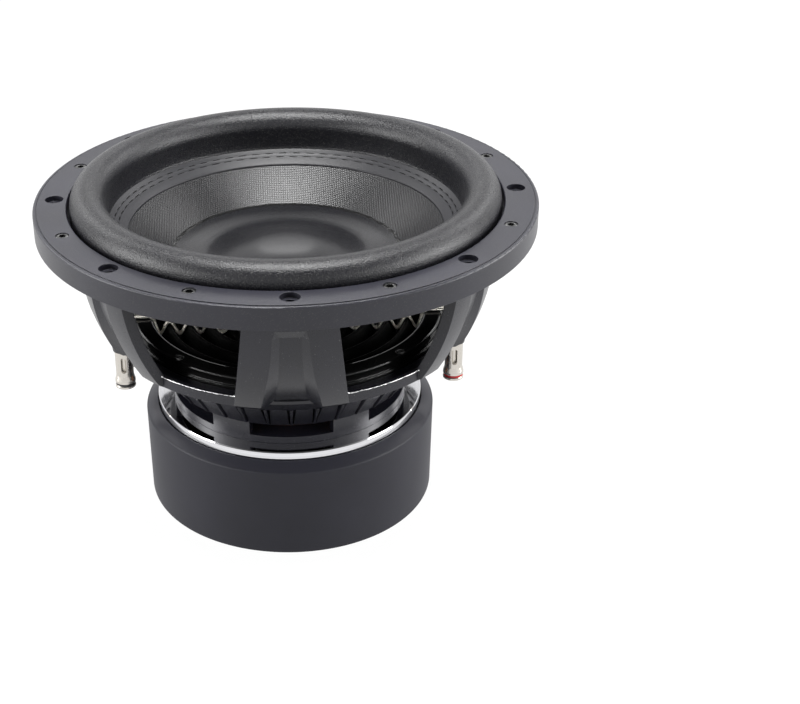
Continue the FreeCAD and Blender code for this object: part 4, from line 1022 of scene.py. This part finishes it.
# name, place, width, height, power
LAMPS = (
    ("top_softbox", (0.0, 0.0, 1.5), 0.8, 0.6, 32.0),
    ("back_softbox", (0.0, 1.6, 1.35), 0.6, 0.4, 2.0),
    ("back_left_softbox", (-1.1, 1.0, 1.3), 0.7, 0.9, 8.5),
    ("back_right_softbox", (1.1, 1.0, 1.3), 0.7, 0.9, 8.5),
    ("left_strip", (-1.5, -0.1, 0.6), 0.5, 1.4, 17.0),
    ("right_strip", (1.5, -0.1, 0.6), 0.5, 1.4, 18.0),
    ("left_glint", (-1.3, -0.65, 0.52), 0.9, 0.2, 8.0),
    ("right_glint", (1.3, -0.65, 0.52), 0.9, 0.2, 8.0),
)

CAMERA_PLACE = (-8.10, -926.34, 613.37)
CAMERA_YAW, CAMERA_TILT, CAMERA_ROLL = 0.0067, 0.4994, -0.0233
CAMERA_LENS, CAMERA_SENSOR, CAMERA_SHIFT, CAMERA_REACH = 69.71, 36.0, 0.1425, 50.0


def build_floor():
    half = FLOOR_HALF
    corners = [(-half, -half, 0), (half, -half, 0), (half, half, 0), (-half, half, 0)]
    mesh = bpy.data.meshes.new("floor")
    mesh.from_pydata(corners, [], [(0, 1, 2, 3)])
    floor = linked("floor", mesh)
    mesh.materials.append(floor_finish())


def floor_finish():
    """Floor that is white where it is seen or mirrored, with a faint shadow and little bounce."""
    material = bpy.data.materials.new("studio_floor")
    material.use_nodes = True
    graph = Graph(material.node_tree)
    surface = material.node_tree.nodes["Principled BSDF"]
    surface.inputs["Roughness"].default_value = FLOOR_ROUGHNESS
    surface.inputs["Specular IOR Level"].default_value = 0.0
    rays = graph.add("ShaderNodeLightPath").outputs
    seen = graph.math("MAXIMUM", rays["Is Camera Ray"], rays["Is Transmission Ray"])
    seen = graph.math("MAXIMUM", seen, rays["Is Glossy Ray"])
    tone = graph.mix(seen, grey(FLOOR_BOUNCE), grey(FLOOR_TONE))
    graph.feed(surface.inputs["Base Color"], tone)
    white = graph.add("ShaderNodeEmission", {"Color": WHITE, "Strength": FLOOR_GLOW})
    share = graph.math("MULTIPLY", seen, FLOOR_GLOW_SHARE)
    blend = graph.add("ShaderNodeMixShader", {"Fac": share})
    graph.feed(blend.inputs[1], surface.outputs[0])
    graph.feed(blend.inputs[2], white.outputs[0])
    output = material.node_tree.nodes["Material Output"]
    graph.feed(output.inputs["Surface"], blend.outputs[0])
    return material


def build_world():
    """White where it is seen, a dim room for diffuse light, and a sweep under a dark ceiling."""
    world = bpy.data.worlds.new("studio")
    bpy.context.scene.world = world
    world.use_nodes = True
    graph = Graph(world.node_tree)
    rays = graph.add("ShaderNodeLightPath").outputs
    seen = graph.math("MAXIMUM", rays["Is Camera Ray"], rays["Is Transmission Ray"])
    direction = graph.add("ShaderNodeTexCoord").outputs["Generated"]
    mirrored = graph.span(graph.parts(direction)["Z"], SWEEP_TOP, CEILING_START, 1.0, CEILING)
    extra = graph.math("SUBTRACT", mirrored, ROOM)
    shine = graph.math("MULTIPLY_ADD", rays["Is Glossy Ray"], extra, ROOM)
    background = world.node_tree.nodes["Background"]
    background.inputs["Color"].default_value = WHITE
    graph.feed(background.inputs["Strength"], graph.math("MAXIMUM", seen, shine))


def build_lamps():
    for name, place, width, height, power in LAMPS:
        data = bpy.data.lights.new(name, "AREA")
        data.shape = "RECTANGLE"
        data.size = width
        data.size_y = height
        data.energy = power
        light = linked(name, data)
        light.location = place
        aim = Vector(LAMP_TARGET) - Vector(place)
        light.rotation_euler = aim.to_track_quat("-Z", "Y").to_euler()


def build_camera():
    """Camera from its place, its turn about Z, its tilt down and its small roll."""
    flat = math.cos(CAMERA_TILT)
    forward = Vector((math.sin(CAMERA_YAW) * flat, math.cos(CAMERA_YAW) * flat,
                      -math.sin(CAMERA_TILT)))
    level = Vector((math.cos(CAMERA_YAW), -math.sin(CAMERA_YAW), 0))
    upright = level.cross(forward)
    right = level * math.cos(CAMERA_ROLL) + upright * math.sin(CAMERA_ROLL)
    up = upright * math.cos(CAMERA_ROLL) - level * math.sin(CAMERA_ROLL)
    turn = Matrix((right, up, -forward)).transposed()
    data = bpy.data.cameras.new("camera")
    data.lens = CAMERA_LENS
    data.sensor_width = CAMERA_SENSOR
    data.shift_x = CAMERA_SHIFT
    data.clip_end = CAMERA_REACH
    camera = linked("camera", data)
    camera.matrix_world = Matrix.Translation(Vector(CAMERA_PLACE) * MM) @ turn.to_4x4()
    bpy.context.scene.camera = camera


build_roll()
build_band()
build_cone()
build_cap()
build_boot()
build_spider()
build_screws()
build_stitches()
build_springs()
build_leads()
dress_nodes()
build_floor()
build_world()
build_lamps()
build_camera()
bpy.context.scene.view_settings.view_transform = "Standard"
